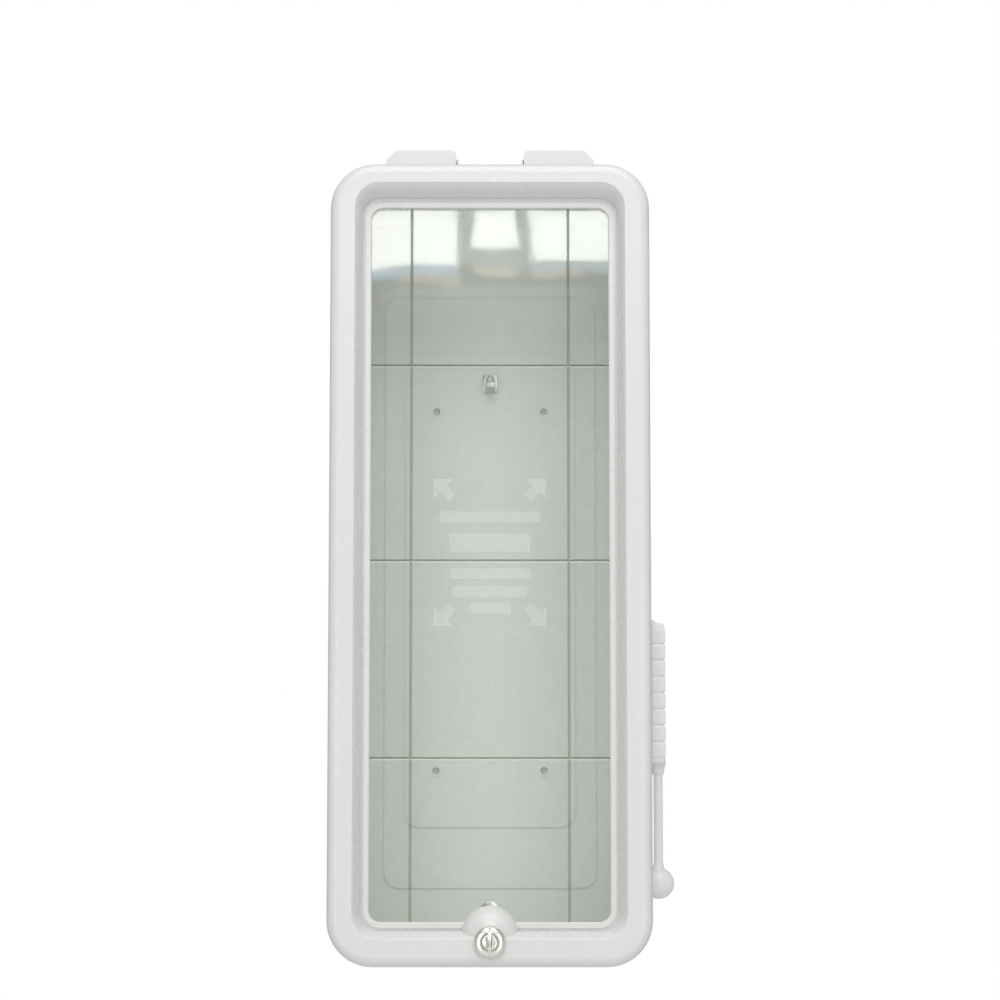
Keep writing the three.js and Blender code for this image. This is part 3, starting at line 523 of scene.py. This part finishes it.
def rod(name: str, radius: float, length: float, middle: Sequence[float], axis: Axis,
        sides: int = 48) -> bpy.types.Object:
    """Adds a round bar.

    Args:
        name: The bar's name.
        radius: Its radius in metres.
        length: Its length in metres.
        middle: The centre of the bar.
        axis: The way it runs.
        sides: Its number of sides.

    Returns:
        The bar, settled.
    """
    turn = Vector((0, 0, 1)).rotation_difference(axis.value).to_euler()
    bar = added(bpy.ops.mesh.primitive_cylinder_add, name, radius=radius, depth=length,
                vertices=sides, location=middle, rotation=turn)
    return settle(bar)


def with_modifier(thing: bpy.types.Object, kind: str, **settings: object) -> bpy.types.Object:
    """Adds a modifier with its settings and applies it.

    Args:
        thing: The object.
        kind: The modifier's type.
        settings: The modifier's settings.

    Returns:
        The same object.
    """
    take(thing)
    modifier = thing.modifiers.new(kind.title(), kind)
    for key, value in settings.items():
        setattr(modifier, key, value)
    bpy.ops.object.modifier_apply(modifier=modifier.name)
    return thing


def combined(thing: bpy.types.Object, other: bpy.types.Object, operation: str) -> bpy.types.Object:
    """Joins or cuts one object by another, which is used up.

    Args:
        thing: The object that stays.
        other: The object that joins or cuts it.
        operation: UNION or DIFFERENCE.

    Returns:
        The object that stays.
    """
    with_modifier(thing, "BOOLEAN", operation=operation, object=other, solver="EXACT")
    bpy.data.objects.remove(other)
    return thing


def rounded(thing: bpy.types.Object, width: float, segments: int = 3,
            angle: float = 30.0) -> bpy.types.Object:
    """Rounds an object's sharp edges and smooths its faces.

    Args:
        thing: The object.
        width: Width of the rounding in metres.
        segments: Steps in the rounding.
        angle: Edges sharper than this are rounded, in degrees.

    Returns:
        The same object.
    """
    with_modifier(thing, "BEVEL", width=width, segments=segments, limit_method="ANGLE",
                  angle_limit=math.radians(angle), use_clamp_overlap=True)
    take(thing)
    bpy.ops.object.shade_smooth_by_angle(angle=math.radians(40))
    return thing


def spun(name: str, profile: Sequence[tuple[float, float]], at: Sequence[float], axis: Axis,
         steps: int = 64) -> bpy.types.Object:
    """Turns a profile about an axis, as on a lathe.

    Args:
        name: The piece's name.
        profile: Pairs of radius and height in metres, from one end to the other.
        at: Where the axis starts.
        axis: The way the axis runs.
        steps: Steps in the full turn.

    Returns:
        The turned piece, settled.
    """
    piece = added(bpy.ops.mesh.primitive_plane_add, name, size=1)
    bpy.ops.object.mode_set(mode="EDIT")
    bpy.ops.mesh.select_all(action="SELECT")
    bpy.ops.mesh.delete(type="VERT")
    bpy.ops.object.mode_set(mode="OBJECT")
    mesh = piece.data
    mesh.vertices.add(len(profile))
    mesh.edges.add(len(profile) - 1)
    for i, (radius, height) in enumerate(profile):
        mesh.vertices[i].co = (radius, 0, height)
    for i in range(len(profile) - 1):
        mesh.edges[i].vertices = (i, i + 1)
    mesh.update()
    bpy.ops.object.mode_set(mode="EDIT")
    bpy.ops.mesh.select_all(action="SELECT")
    bpy.ops.mesh.spin(steps=steps, angle=math.tau, center=(0, 0, 0), axis=(0, 0, 1),
                      use_normal_flip=False)
    bpy.ops.mesh.select_all(action="SELECT")
    bpy.ops.mesh.remove_doubles(threshold=1e-6)
    bpy.ops.mesh.normals_make_consistent(inside=False)
    bpy.ops.object.mode_set(mode="OBJECT")
    turn = Vector((0, 0, 1)).rotation_difference(axis.value).to_matrix().to_4x4()
    piece.matrix_world = Matrix.Translation(at) @ turn
    settle(piece)
    bpy.ops.object.shade_smooth_by_angle(angle=math.radians(38))
    return piece


def merged(pieces: Sequence[bpy.types.Object]) -> bpy.types.Object:
    """Joins several objects into the first one.

    Args:
        pieces: The objects.

    Returns:
        The first object, which holds them all.
    """
    deselect()
    for thing in pieces:
        thing.select_set(True)
    bpy.context.view_layer.objects.active = pieces[0]
    bpy.ops.object.join()
    return pieces[0]


def copied(thing: bpy.types.Object, name: str, move: Matrix) -> bpy.types.Object:
    """Copies an object with a mesh of its own, moved to its place.

    Args:
        thing: The object to copy.
        name: The copy's name.
        move: Where the copy goes, from the original's place.

    Returns:
        The copy, at the origin, with its place in its mesh.
    """
    copy = thing.copy()
    copy.data = thing.data.copy()
    copy.name = name
    copy.data.name = name
    copy.data.transform(move)
    bpy.context.collection.objects.link(copy)
    return copy


def dress(piece: bpy.types.Object, finish: bpy.types.Material) -> None:
    """Gives a piece one finish all over.

    Args:
        piece: The piece.
        finish: Its material.
    """
    piece.data.materials.clear()
    piece.data.materials.append(finish)


def report(piece: str, words: str) -> None:
    """Logs one piece.

    Args:
        piece: The piece's name.
        words: What was done with it.
    """
    LOG.info("%-28s %s", piece, words)


# ---------------------------------------------------------------- carried-over pieces


@dataclass
class CarriedPieces:
    """The CAD nodes whose shapes are right: smoothed, given soft edges and dressed."""

    edge: float = 0.35 * MM
    weld: float = 0.005 * MM
    moulded_angle: float = 34.0
    # Pieces dressed in the lighter copy of the white plastic: painted light for parts that sit in
    # shade.
    bright: tuple[str, ...] = ("back_box", "hammer_clip_upper", "hammer_clip_lower")
    crisp: tuple[str, ...] = (
        "lock_keeper", "extinguisher_hook", "lock_cam", "lock_nut", "lock_washer", "cam_screw",
        "hinge_bracket_left", "hinge_bracket_right", "hinge_pin_left", "hinge_pin_right",
        "hammer_clip_upper", "hammer_clip_lower", "door_bumper_left", "door_bumper_right",
        "lock_plug",
    )

    def clean(self, node: bpy.types.Object, angle: float) -> None:
        """Shades a node smoothly, welds its loose triangles and joins those that lie flat.

        Args:
            node: The CAD node's object.
            angle: Faces that meet at less than this are flat, in degrees.
        """
        take(node)
        bpy.ops.object.shade_smooth()
        weld = node.modifiers.new("weld", "WELD")
        weld.merge_threshold = self.weld
        flat = node.modifiers.new("flat", "DECIMATE")
        flat.decimate_type = "DISSOLVE"
        flat.angle_limit = math.radians(angle)

    def smooth(self, node: bpy.types.Object) -> None:
        """Shades a moulded node smoothly, with its real edges kept sharp.

        Args:
            node: The CAD node's object.
        """
        self.clean(node, 0.5)
        split = node.modifiers.new("edges", "EDGE_SPLIT")
        split.split_angle = math.radians(self.moulded_angle)
        normals = node.modifiers.new("normals", "WEIGHTED_NORMAL")
        normals.weight = 100

    def soften(self, node: bpy.types.Object) -> None:
        """Rounds a small hard piece's edges.

        Args:
            node: The CAD node's object.
        """
        self.clean(node, 1)
        bevel = node.modifiers.new("bevel", "BEVEL")
        bevel.width = self.edge
        bevel.segments = 2
        bevel.limit_method = "ANGLE"
        bevel.angle_limit = math.radians(35)
        bevel.harden_normals = True

    def build(self, finishes: Finishes, kept: Iterable[str]) -> None:
        """Dresses every CAD node that stays.

        Args:
            finishes: The cabinet's finishes.
            kept: Names of the nodes that no finer piece replaces.
        """
        slots = {part["node"]: part["material_slot"] for part in frame["record"]["subparts"]}
        for name in kept:
            node = frame["nodes"][name]
            finish = finishes.bright if name in self.bright else finishes.of(slots[name])
            dress(node, finish)
            if name in self.crisp or name.startswith("panel_clip"):
                self.soften(node)
            elif name != "clear_panel":
                self.smooth(node)
            report(name, "CAD shape, new finish")


# ---------------------------------------------------------------- screws


@dataclass
class CrossScrews:
    """Pan-head screws with a cross recess, one for each plain CAD screw."""

    head: float = 3.3 * MM
    height: float = 1.8 * MM
    shank: float = 1.5 * MM
    slot: float = 0.9 * MM
    reach: float = 3.6 * MM
    depth: float = 1.1 * MM
    pitch: float = 0.8 * MM

    def master(self, length: float) -> bpy.types.Object:
        """Models one screw, pointing up with the underside of its head at the origin.

        Args:
            length: Length of the shank under the head, in metres.

        Returns:
            The screw.
        """
        crown = []
        for step in range(7):
            angle = step * math.pi / 12
            rise = self.height * (0.38 + 0.62 * math.sin(angle))
            crown.append((self.head * math.cos(angle), rise))
        crown[-1] = (0.0, self.height)
        threads = []
        count = int((length - 1.5 * MM) / self.pitch)
        for turn in range(count):
            z = -1.0 * MM - turn * self.pitch
            threads += [(self.shank, z), (self.shank * 0.78, z - self.pitch * 0.5)]
        profile = [(0.0, -length), (self.shank * 0.5, -length + 0.5 * MM), *reversed(threads),
                   (self.shank, -0.6 * MM), (self.shank, 0.0), (self.head * 0.94, 0.0),
                   (self.head, 0.25 * MM), *crown]
        screw = spun("screw_master", profile, (0, 0, 0), Axis.Z, 32)
        for turn in range(2):
            span = (self.reach / 2, self.slot / 2) if turn else (self.slot / 2, self.reach / 2)
            cutter = brick("recess", (-span[0], -span[1], self.height - self.depth),
                           (span[0], span[1], self.height + MM))
            combined(screw, cutter, "DIFFERENCE")
        take(screw)
        bpy.ops.object.shade_smooth_by_angle(angle=math.radians(38))
        return screw

    def build(self, finishes: Finishes) -> list[str]:
        """Places a screw over each of the CAD's.

        Args:
            finishes: The cabinet's finishes.

        Returns:
            The CAD nodes that were replaced.
        """
        nodes = [n for n in frame["nodes"] if "screw" in n and n != "cam_screw"]
        masters: dict[int, bpy.types.Object] = {}
        for index, name in enumerate(sorted(nodes)):
            low, high = (Vector(corner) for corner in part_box(name))
            size = high - low
            axis, along = self.direction(name, size)
            length = max(size) - self.height
            key = round(length / MM * 10)
            if key not in masters:
                masters[key] = self.master(length)
            under = (low + high) / 2
            ends = (low[along], high[along])
            forward = axis.value[along] > 0
            under[along] = ends[1] - self.height if forward else ends[0] + self.height
            turn = Vector((0, 0, 1)).rotation_difference(axis.value).to_matrix().to_4x4()
            spin = Matrix.Rotation(math.radians(23 + 37 * index), 4, "Z")
            piece = copied(masters[key], f"cross_{name}", Matrix.Translation(under) @ turn @ spin)
            dress(piece, finishes.zinc)
            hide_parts(name)
            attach(piece, Body.DOOR.value if name.startswith("panel") else Body.CABINET.value)
            report(piece.name, "cross-recess screw")
        for screw in masters.values():
            bpy.data.objects.remove(screw)
        return nodes

    @staticmethod
    def direction(name: str, size: Vector) -> tuple[Axis, int]:
        """Finds which way a screw's head faces.

        Args:
            name: The CAD screw's name.
            size: The size of its box.

        Returns:
            The axis its head faces, and that axis's number.
        """
        along = max(range(3), key=lambda i: size[i])
        if name == "hook_screw":
            return Axis.BACK_Y, 1
        return (Axis.X, Axis.Y, Axis.Z)[along], along


# ---------------------------------------------------------------- lock


@dataclass
class CamLock:
    """The lock's nickel face and body, and its key."""

    bore: float = 6.3 * MM
    flange: float = 4.1 * MM
    body: float = 8.5 * MM
    thread: float = 0.45 * MM
    crown_steps: int = 7
    crown_in: float = 3.6 * MM
    crown_rise: float = 3.1 * MM
    crown_base: float = 0.7 * MM
    bow_rim: float = 1.5 * MM
    bow_eye: float = 3.2 * MM
    eye_in: float = 5 * MM
    eye_rim: float = 1.2 * MM
    blade_half: float = 4 * MM
    groove_half: float = 0.55 * MM
    groove_side: float = 0.9 * MM
    teeth: int = 5
    tooth_pitch: float = 3.4 * MM
    first_tooth: float = 7 * MM
    key_edge: float = 0.22 * MM

    def face(self, finishes: Finishes) -> bpy.types.Object:
        """Models the barrel: a domed face with a stepped lip, and a threaded body behind it.

        Args:
            finishes: The cabinet's finishes.

        Returns:
            The barrel.
        """
        low, high = (Vector(corner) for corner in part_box("lock_barrel"))
        centre = (low + high) / 2
        radius = (high.x - low.x) / 2
        bore, flange, body = self.bore, self.flange, self.body
        depth = high.y - low.y
        profile = [(bore, 0.2 * MM), (bore, depth - 0.5 * MM), (bore + 0.5 * MM, depth),
                   (body - 0.6 * MM, depth)]
        turns = int((depth - flange - 2 * MM) / MM)
        for turn in range(turns):
            height = depth - 0.6 * MM - turn * MM
            profile += [(body, height), (body - self.thread, height - 0.5 * MM)]
        profile += [(body, flange + 0.6 * MM), (body, flange), (radius - 0.3 * MM, flange)]
        dome = []
        for step in range(self.crown_steps + 1):
            angle = math.pi / 2 * step / self.crown_steps
            rise = self.crown_rise * math.sin(angle) + self.crown_base
            dome.append((radius - self.crown_in * (1 - math.cos(angle)), flange - rise))
        lip = [(bore + 1.3 * MM, 0.1 * MM), (bore + 0.9 * MM, 0.55 * MM),
               (bore + 0.35 * MM, 0.55 * MM), (bore, 0.2 * MM)]
        profile += [(radius, flange - 0.3 * MM), *dome, *lip]
        barrel = spun("lock_face", profile, (centre.x, low.y, centre.z), Axis.Y, 96)
        dress(barrel, finishes.nickel)
        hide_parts("lock_barrel")
        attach(barrel, Body.DOOR.value)
        report("lock_face", "domed nickel face on a threaded body")
        return barrel

    def key(self, finishes: Finishes) -> bpy.types.Object:
        """Models the key: a flat bow with a raised rim and an eye, and a grooved, toothed blade.

        Args:
            finishes: The cabinet's finishes.

        Returns:
            The key.
        """
        low, high = (Vector(corner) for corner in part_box("key"))
        mid = (low + high) / 2
        bow = (high.z - low.z) / 2
        half = (high.x - low.x) / 2
        bow_y = low.y + bow
        neck_y = bow_y + bow
        wide = self.blade_half
        disc = rod("cut_key", bow, 2 * half, (mid.x, bow_y, mid.z), Axis.X, 72)
        waist = brick("waist", (mid.x - half, bow_y, mid.z - 5 * MM),
                      (mid.x + half, neck_y + 1.6 * MM, mid.z + 5 * MM))
        blade = brick("blade", (mid.x - half, neck_y, mid.z - wide),
                      (mid.x + half, high.y, mid.z + wide))
        combined(combined(disc, waist, "UNION"), blade, "UNION")
        eye_at = (mid.x, bow_y - self.eye_in, mid.z)
        combined(disc, rod("eye", self.bow_eye, 6 * MM, eye_at, Axis.X, 40), "DIFFERENCE")
        for side in (-1, 1):
            face = mid.x + side * half
            track = mid.z + side * self.groove_side
            groove = brick("groove", (face - self.groove_half, neck_y + 0.5 * MM, track - 1.1 * MM),
                           (face + self.groove_half, high.y + MM, track + 0.5 * MM))
            combined(disc, groove, "DIFFERENCE")
            dish = rod("dish", bow - self.bow_rim, 0.7 * MM, (face, bow_y, mid.z), Axis.X, 72)
            post = rod("post", self.bow_eye + self.eye_rim, 4 * MM, eye_at, Axis.X, 40)
            combined(dish, post, "DIFFERENCE")
            combined(disc, dish, "DIFFERENCE")
        for tooth in range(self.teeth):
            y = neck_y + self.first_tooth + tooth * self.tooth_pitch
            depth = MM + (tooth * 2 % 3) * 0.6 * MM
            notch = rod("notch", depth, 6 * MM, (mid.x, y, mid.z + wide + 0.2 * MM), Axis.X, 4)
            combined(disc, notch, "DIFFERENCE")
        rounded(disc, self.key_edge, 2, 40)
        dress(disc, finishes.nickel)
        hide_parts("key")
        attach(disc, Body.KEY.value)
        report("cut_key", "bow, eye, grooves and teeth")
        return disc

    def build(self, finishes: Finishes) -> list[str]:
        """Builds the lock's finer pieces.

        Args:
            finishes: The cabinet's finishes.

        Returns:
            The CAD nodes that were replaced.
        """
        self.face(finishes)
        self.key(finishes)
        return ["lock_barrel", "key"]


# ---------------------------------------------------------------- hammer


@dataclass
class StrikeHammer:
    """The moulded hammer: ribbed grip, spine, tapered shaft and ball."""

    ribs: int = 8
    rib_gap: float = 0.9 * MM
    rib_proud: float = 1.0 * MM
    round_off: float = 1.2 * MM
    length: float = 106.5 * MM
    shaft_inside: float = 21.7 * MM
    core_inset: float = 0.9 * MM
    spine_half: float = 3.5 * MM
    shaft: float = 3.6 * MM
    flare: float = 8 * MM
    neck: float = 5 * MM

    def grip(self, finishes: Finishes) -> bpy.types.Object:
        """Models the handle: a core and its finger ribs, the shoulder above and the collar below.

        Args:
            finishes: The cabinet's finishes.

        Returns:
            The handle.
        """
        low, high = (Vector(corner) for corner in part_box("hammer_handle"))
        shaft_low, shaft_high = (Vector(corner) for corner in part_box("hammer_shaft"))
        axis_x = (shaft_low.x + shaft_high.x) / 2
        mid_y = (low.y + high.y) / 2
        half = high.x - axis_x
        bottom = shaft_high.z - self.shaft_inside
        top = bottom + self.length
        inset = self.core_inset
        core = brick("ribbed_grip", (axis_x - half, low.y + inset, bottom),
                     (high.x - self.rib_proud, high.y - inset, top + 4 * MM))
        rounded(core, 2.2 * MM, 4)
        pitch = (top - bottom - 4 * MM) / self.ribs
        blocks = []
        for rib in range(self.ribs):
            ceiling = top - rib * pitch
            floor = ceiling - pitch + self.rib_gap
            block = brick(f"rib_{rib}", (axis_x - half + 0.5 * MM, low.y, floor),
                          (high.x, high.y, ceiling))
            rounded(block, self.round_off, 4)
            blocks.append(block)
        wedge = brick("shoulder", (axis_x - half, low.y + 2 * MM, top - 2 * MM),
                      (high.x - 0.6 * MM, high.y - 2 * MM, top + 7 * MM))
        take(wedge)
        bpy.ops.object.mode_set(mode="EDIT")
        bpy.ops.mesh.select_all(action="SELECT")
        bpy.ops.mesh.bisect(plane_co=(axis_x - half + 2 * MM, mid_y, top + 7 * MM),
                            plane_no=(0.62, 0, 0.78), use_fill=True, clear_outer=True)
        bpy.ops.object.mode_set(mode="OBJECT")
        rounded(wedge, MM, 3)
        spine = brick("spine", (low.x, mid_y - self.spine_half, bottom + 9 * MM),
                      (axis_x - half + MM, mid_y + self.spine_half, high.z))
        rounded(spine, 1.1 * MM, 4)
        collar = spun("collar", [
            (3.9 * MM, bottom + 18 * MM), (3.9 * MM, bottom - 7.6 * MM), (4.3 * MM, bottom - 8 * MM),
            (4.8 * MM, bottom - 7.6 * MM), (5.2 * MM, bottom - 3 * MM), (6.2 * MM, bottom + 0.5 * MM),
            (6.2 * MM, bottom + 2 * MM), (3.9 * MM, bottom + 18 * MM),
        ], (axis_x, mid_y, 0), Axis.Z, 48)
        handle = merged([core, *blocks, wedge, spine, collar])
        take(handle)
        bpy.ops.object.shade_smooth_by_angle(angle=math.radians(40))
        # painted light: the lighter plastic copy makes up for the shade the hammer sits in
        dress(handle, finishes.bright)
        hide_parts("hammer_handle")
        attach(handle, Body.HAMMER.value)
        report("ribbed_grip", f"core with {self.ribs} ribs")
        return handle

    def striker(self, finishes: Finishes) -> bpy.types.Object:
        """Models the shaft and ball in one, with a flare where they meet.

        Args:
            finishes: The cabinet's finishes.

        Returns:
            The striker.
        """
        low, high = (Vector(corner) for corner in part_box("hammer_shaft"))
        centre = (low + high) / 2
        ball = (high.x - low.x) / 2
        ball_z = low.z + ball
        shaft, flare, neck = self.shaft, self.flare, self.neck
        start = math.asin(neck / ball)
        profile = [(0.0, high.z), (shaft - 0.4 * MM, high.z), (shaft, high.z - 0.4 * MM)]
        flare_z = ball_z + ball * math.cos(start)
        profile.append((shaft, flare_z + flare))
        for step in range(1, 8):
            share = step / 8
            profile.append((shaft + (neck - shaft) * share ** 2, flare_z + flare * (1 - share)))
        for step in range(25):
            angle = start + (math.pi - start) * step / 24
            profile.append((ball * math.sin(angle), ball_z + ball * math.cos(angle)))
        profile[-1] = (0.0, low.z)
        striker = spun("ball_striker", profile, (centre.x, centre.y, 0), Axis.Z, 72)
        # painted light: the lighter plastic copy makes up for the shade the hammer sits in
        dress(striker, finishes.bright)
        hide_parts("hammer_shaft")
        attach(striker, Body.HAMMER.value)
        report("ball_striker", "shaft flared into its ball")
        return striker

    def build(self, finishes: Finishes) -> list[str]:
        """Builds the hammer.

        Args:
            finishes: The cabinet's finishes.

        Returns:
            The CAD nodes that were replaced.
        """
        self.grip(finishes)
        self.striker(finishes)
        return ["hammer_handle", "hammer_shaft"]


# ---------------------------------------------------------------- legend


@dataclass
class Legend:
    """The print on the panel: four arrows pointing outward, and plain bars between them."""

    lift: float = 0.12 * MM
    film: float = 0.05 * MM
    arrow_x: float = 36 * MM
    arrow_high: float = 56.5 * MM
    arrow_low: float = -42.5 * MM
    head: float = 10.5 * MM
    stem: float = 10 * MM
    stem_width: float = 8 * MM
    bars: tuple[tuple[float, float, float], ...] = (
        (34.5, 78, 8.5), (14.5, 62, 14), (-9.5, 62, 8.5), (-23.5, 58, 8.5), (-36.5, 32, 8.5))
    bar_radius: float = 1.6 * MM

    def patch(self, name: str, outline: Sequence[tuple[float, float]],
              move: Matrix) -> bpy.types.Object:
        """Makes one printed patch from its outline.

        Args:
            name: The patch's name.
            outline: Points across and up, in metres.
            move: Where it goes, from lying flat at the origin.

        Returns:
            The patch.
        """
        patch = added(bpy.ops.mesh.primitive_circle_add, name, vertices=len(outline), radius=1,
                      fill_type="NGON")
        for vertex, (across, up) in zip(patch.data.vertices, outline):
            vertex.co = (across, 0, up)
        bpy.ops.object.mode_set(mode="EDIT")
        bpy.ops.mesh.select_all(action="SELECT")
        bpy.ops.mesh.extrude_region_move(TRANSFORM_OT_translate={"value": (0, self.film, 0)})
        bpy.ops.mesh.select_all(action="SELECT")
        bpy.ops.mesh.normals_make_consistent(inside=False)
        bpy.ops.object.mode_set(mode="OBJECT")
        patch.matrix_world = move
        return settle(patch)

    def arrow(self) -> list[tuple[float, float]]:
        """Returns an arrow's outline, pointing up."""
        half = self.head
        return [(-half, 0), (-self.stem_width / 2, 0), (-self.stem_width / 2, -self.stem),
                (self.stem_width / 2, -self.stem), (self.stem_width / 2, 0), (half, 0), (0, self.head)]

    def bar(self, width: float, height: float) -> list[tuple[float, float]]:
        """Returns the outline of a bar with round corners.

        Args:
            width: Its width in metres.
            height: Its height in metres.
        """
        radius = self.bar_radius
        outline = []
        for quarter, (sx, sz) in enumerate(((1, 1), (-1, 1), (-1, -1), (1, -1))):
            for step in range(5):
                angle = math.pi / 2 * (quarter + step / 4)
                outline.append((sx * (width / 2 - radius) + radius * math.cos(angle),
                                sz * (height / 2 - radius) + radius * math.sin(angle)))
        return outline

    def build(self, finishes: Finishes) -> bpy.types.Object:
        """Prints the legend on the panel.

        Args:
            finishes: The cabinet's finishes.

        Returns:
            The print, as one piece.
        """
        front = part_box("clear_panel")[0][1] - self.lift - self.film
        patches = []
        for side in (-1, 1):
            for height, tilt in ((self.arrow_high, 45), (self.arrow_low, 135)):
                turn = Matrix.Rotation(math.radians(side * tilt), 4, "Y")
                place = Matrix.Translation((side * self.arrow_x, front, height))
                patches.append(self.patch("arrow", self.arrow(), place @ turn))
        for up, width, height in self.bars:
            place = Matrix.Translation((0, front, up * MM))
            patches.append(self.patch("bar", self.bar(width * MM, height * MM), place))
        printed = merged(patches)
        printed.name = "panel_legend"
        dress(printed, finishes.ink)
        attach(printed, Body.DOOR.value)
        report("panel_legend", "arrows and plain bars")
        return printed


# ---------------------------------------------------------------- studio


@dataclass(frozen=True)
class Pane:
    """One bright pane of the studio's window: its span across and up, and how bright it is."""

    left: float
    right: float
    low: float
    high: float
    glow: float
    colour: Colour = (1.0, 1.0, 1.0)


@dataclass
class Studio:
    """Floor, lights and camera."""

    distance: float = 2.3
    lens: float = 108.46
    camera_x: float = 0.0034
    camera_z: float = -0.210
    pitch: float = 6.336
    yaw: float = 0.1093
    window_y: float = -2.67
    panes: tuple[Pane, ...] = (
        Pane(-0.215, -0.058, 0.704, 0.808, 10.5),
        Pane(-0.030, 0.041, 0.734, 0.808, 10.5),
        Pane(0.064, 0.205, 0.716, 0.808, 10.5),
        Pane(-0.215, 0.205, 0.708, 0.808, 1.8, (0.85, 0.95, 1.0)),
        Pane(-0.275, -0.235, 0.683, 0.758, 14.0),
        Pane(0.218, 0.252, 0.772, 0.806, 14.0),
        Pane(-0.215, -0.058, 0.686, 0.704, 4.0, (0.55, 0.75, 1.0)),
        Pane(-0.030, 0.041, 0.708, 0.734, 4.5, (0.55, 0.75, 1.0)),
        Pane(0.064, 0.205, 0.698, 0.716, 4.0, (0.55, 0.75, 1.0)),
        Pane(-0.150, -0.058, 0.674, 0.686, 2.6, (1.0, 0.72, 0.50)),
        Pane(-0.030, 0.041, 0.692, 0.708, 3.2, (1.0, 0.80, 0.58)),
        Pane(0.064, 0.150, 0.686, 0.698, 2.6, (1.0, 0.72, 0.50)),
    )
    aim: tuple[float, float, float] = (0, -0.1, 0)
    surround: float = 0.44
    floor_z: float = -0.95
    floor_radius: float = 3.2

    def floor(self) -> None:
        """Lays the pale floor."""
        disc = added(bpy.ops.mesh.primitive_circle_add, "studio_floor", vertices=96,
                     radius=self.floor_radius, fill_type="NGON", location=(0, 0, self.floor_z))
        bpy.ops.object.mode_set(mode="EDIT")
        bpy.ops.mesh.select_all(action="SELECT")
        bpy.ops.mesh.inset(thickness=0.4)
        bpy.ops.object.mode_set(mode="OBJECT")
        settle(disc)
        dress(disc, StudioFloor().build())

    def area(self, name: str, at: Sequence[float], aim: Sequence[float], size: tuple[float, float],
             glow: float, colour: Colour = (1.0, 1.0, 1.0)) -> bpy.types.Object:
        """Adds a rectangular light.

        Args:
            name: Its name.
            at: Its centre.
            aim: What it faces.
            size: Width and height in metres.
            glow: Its radiance.
            colour: Its colour.

        Returns:
            The light.
        """
        lamp = bpy.data.lights.new(name, "AREA")
        lamp.shape = "RECTANGLE"
        lamp.size, lamp.size_y = size
        lamp.energy = glow * math.pi * size[0] * size[1]
        lamp.color = colour
        thing = bpy.data.objects.new(name, lamp)
        thing.location = at
        thing.rotation_euler = (Vector(aim) - Vector(at)).to_track_quat("-Z", "Y").to_euler()
        thing.visible_camera = False
        bpy.context.collection.objects.link(thing)
        return thing

    def lights(self) -> None:
        """Hangs two big soft lights above, a tall bank on each side, and the window's panes."""
        self.area("overhead", (0.1, -2.6, 2.0), self.aim, (2.4, 1.3), 3.0)
        self.area("skylight", (0.1, -1.0, 2.35), self.aim, (2.2, 1.2), 2.0)
        for side, glow in ((-1, 1.5), (1, 1.32)):
            self.area(f"bank_{side}", (side * 0.95, -2.7, -0.35), self.aim, (0.9, 1.9), glow)
        for index, pane in enumerate(self.panes):
            centre = ((pane.left + pane.right) / 2, self.window_y, (pane.low + pane.high) / 2)
            ahead = (centre[0], centre[1] + 1, centre[2])
            self.area(f"pane_{index + 1}", centre, ahead,
                      (pane.right - pane.left, pane.high - pane.low), pane.glow, pane.colour)

    def world(self) -> None:
        """Surrounds the object with soft white, which is pure white where the camera sees it."""
        world = bpy.data.worlds.new("studio")
        bpy.context.scene.world = world
        world.use_nodes = True
        nodes, links = world.node_tree.nodes, world.node_tree.links
        nodes.clear()
        output = nodes.new("ShaderNodeOutputWorld")
        soft = nodes.new("ShaderNodeBackground")
        soft.inputs["Color"].default_value = (1.0, 1.0, 1.0, 1.0)
        soft.inputs["Strength"].default_value = self.surround
        bright = nodes.new("ShaderNodeBackground")
        bright.inputs["Color"].default_value = (1.0, 1.0, 1.0, 1.0)
        path = nodes.new("ShaderNodeLightPath")
        choose = nodes.new("ShaderNodeMixShader")
        links.new(path.outputs["Is Camera Ray"], choose.inputs[0])
        links.new(soft.outputs[0], choose.inputs[1])
        links.new(bright.outputs[0], choose.inputs[2])
        links.new(choose.outputs[0], output.inputs["Surface"])
        bpy.context.scene.view_settings.view_transform = "Standard"

    def camera(self) -> None:
        """Sets the camera a little below the middle of the cabinet, looking slightly up."""
        lens = bpy.data.cameras.new("camera")
        lens.lens = self.lens
        lens.sensor_width = 36
        eye = bpy.data.objects.new("camera", lens)
        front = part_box("door_frame")[0][1]
        eye.location = (self.camera_x, front - self.distance, self.camera_z)
        eye.rotation_euler = (math.radians(90 + self.pitch), 0, -math.radians(self.yaw))
        bpy.context.collection.objects.link(eye)
        bpy.context.scene.camera = eye

    def build(self) -> None:
        """Builds the studio."""
        self.camera()
        self.floor()
        self.lights()
        self.world()


def main() -> None:
    """Builds the studio and every piece, in order."""
    logging.basicConfig(level=logging.INFO, format="%(message)s")
    finishes = Finishes()
    Studio().build()
    replaced = [
        *CrossScrews().build(finishes),
        *CamLock().build(finishes),
        *StrikeHammer().build(finishes),
    ]
    Legend().build(finishes)
    CarriedPieces().build(finishes, [name for name in frame["nodes"] if name not in replaced])
    deselect()


if __name__ == "__main__":
    main()
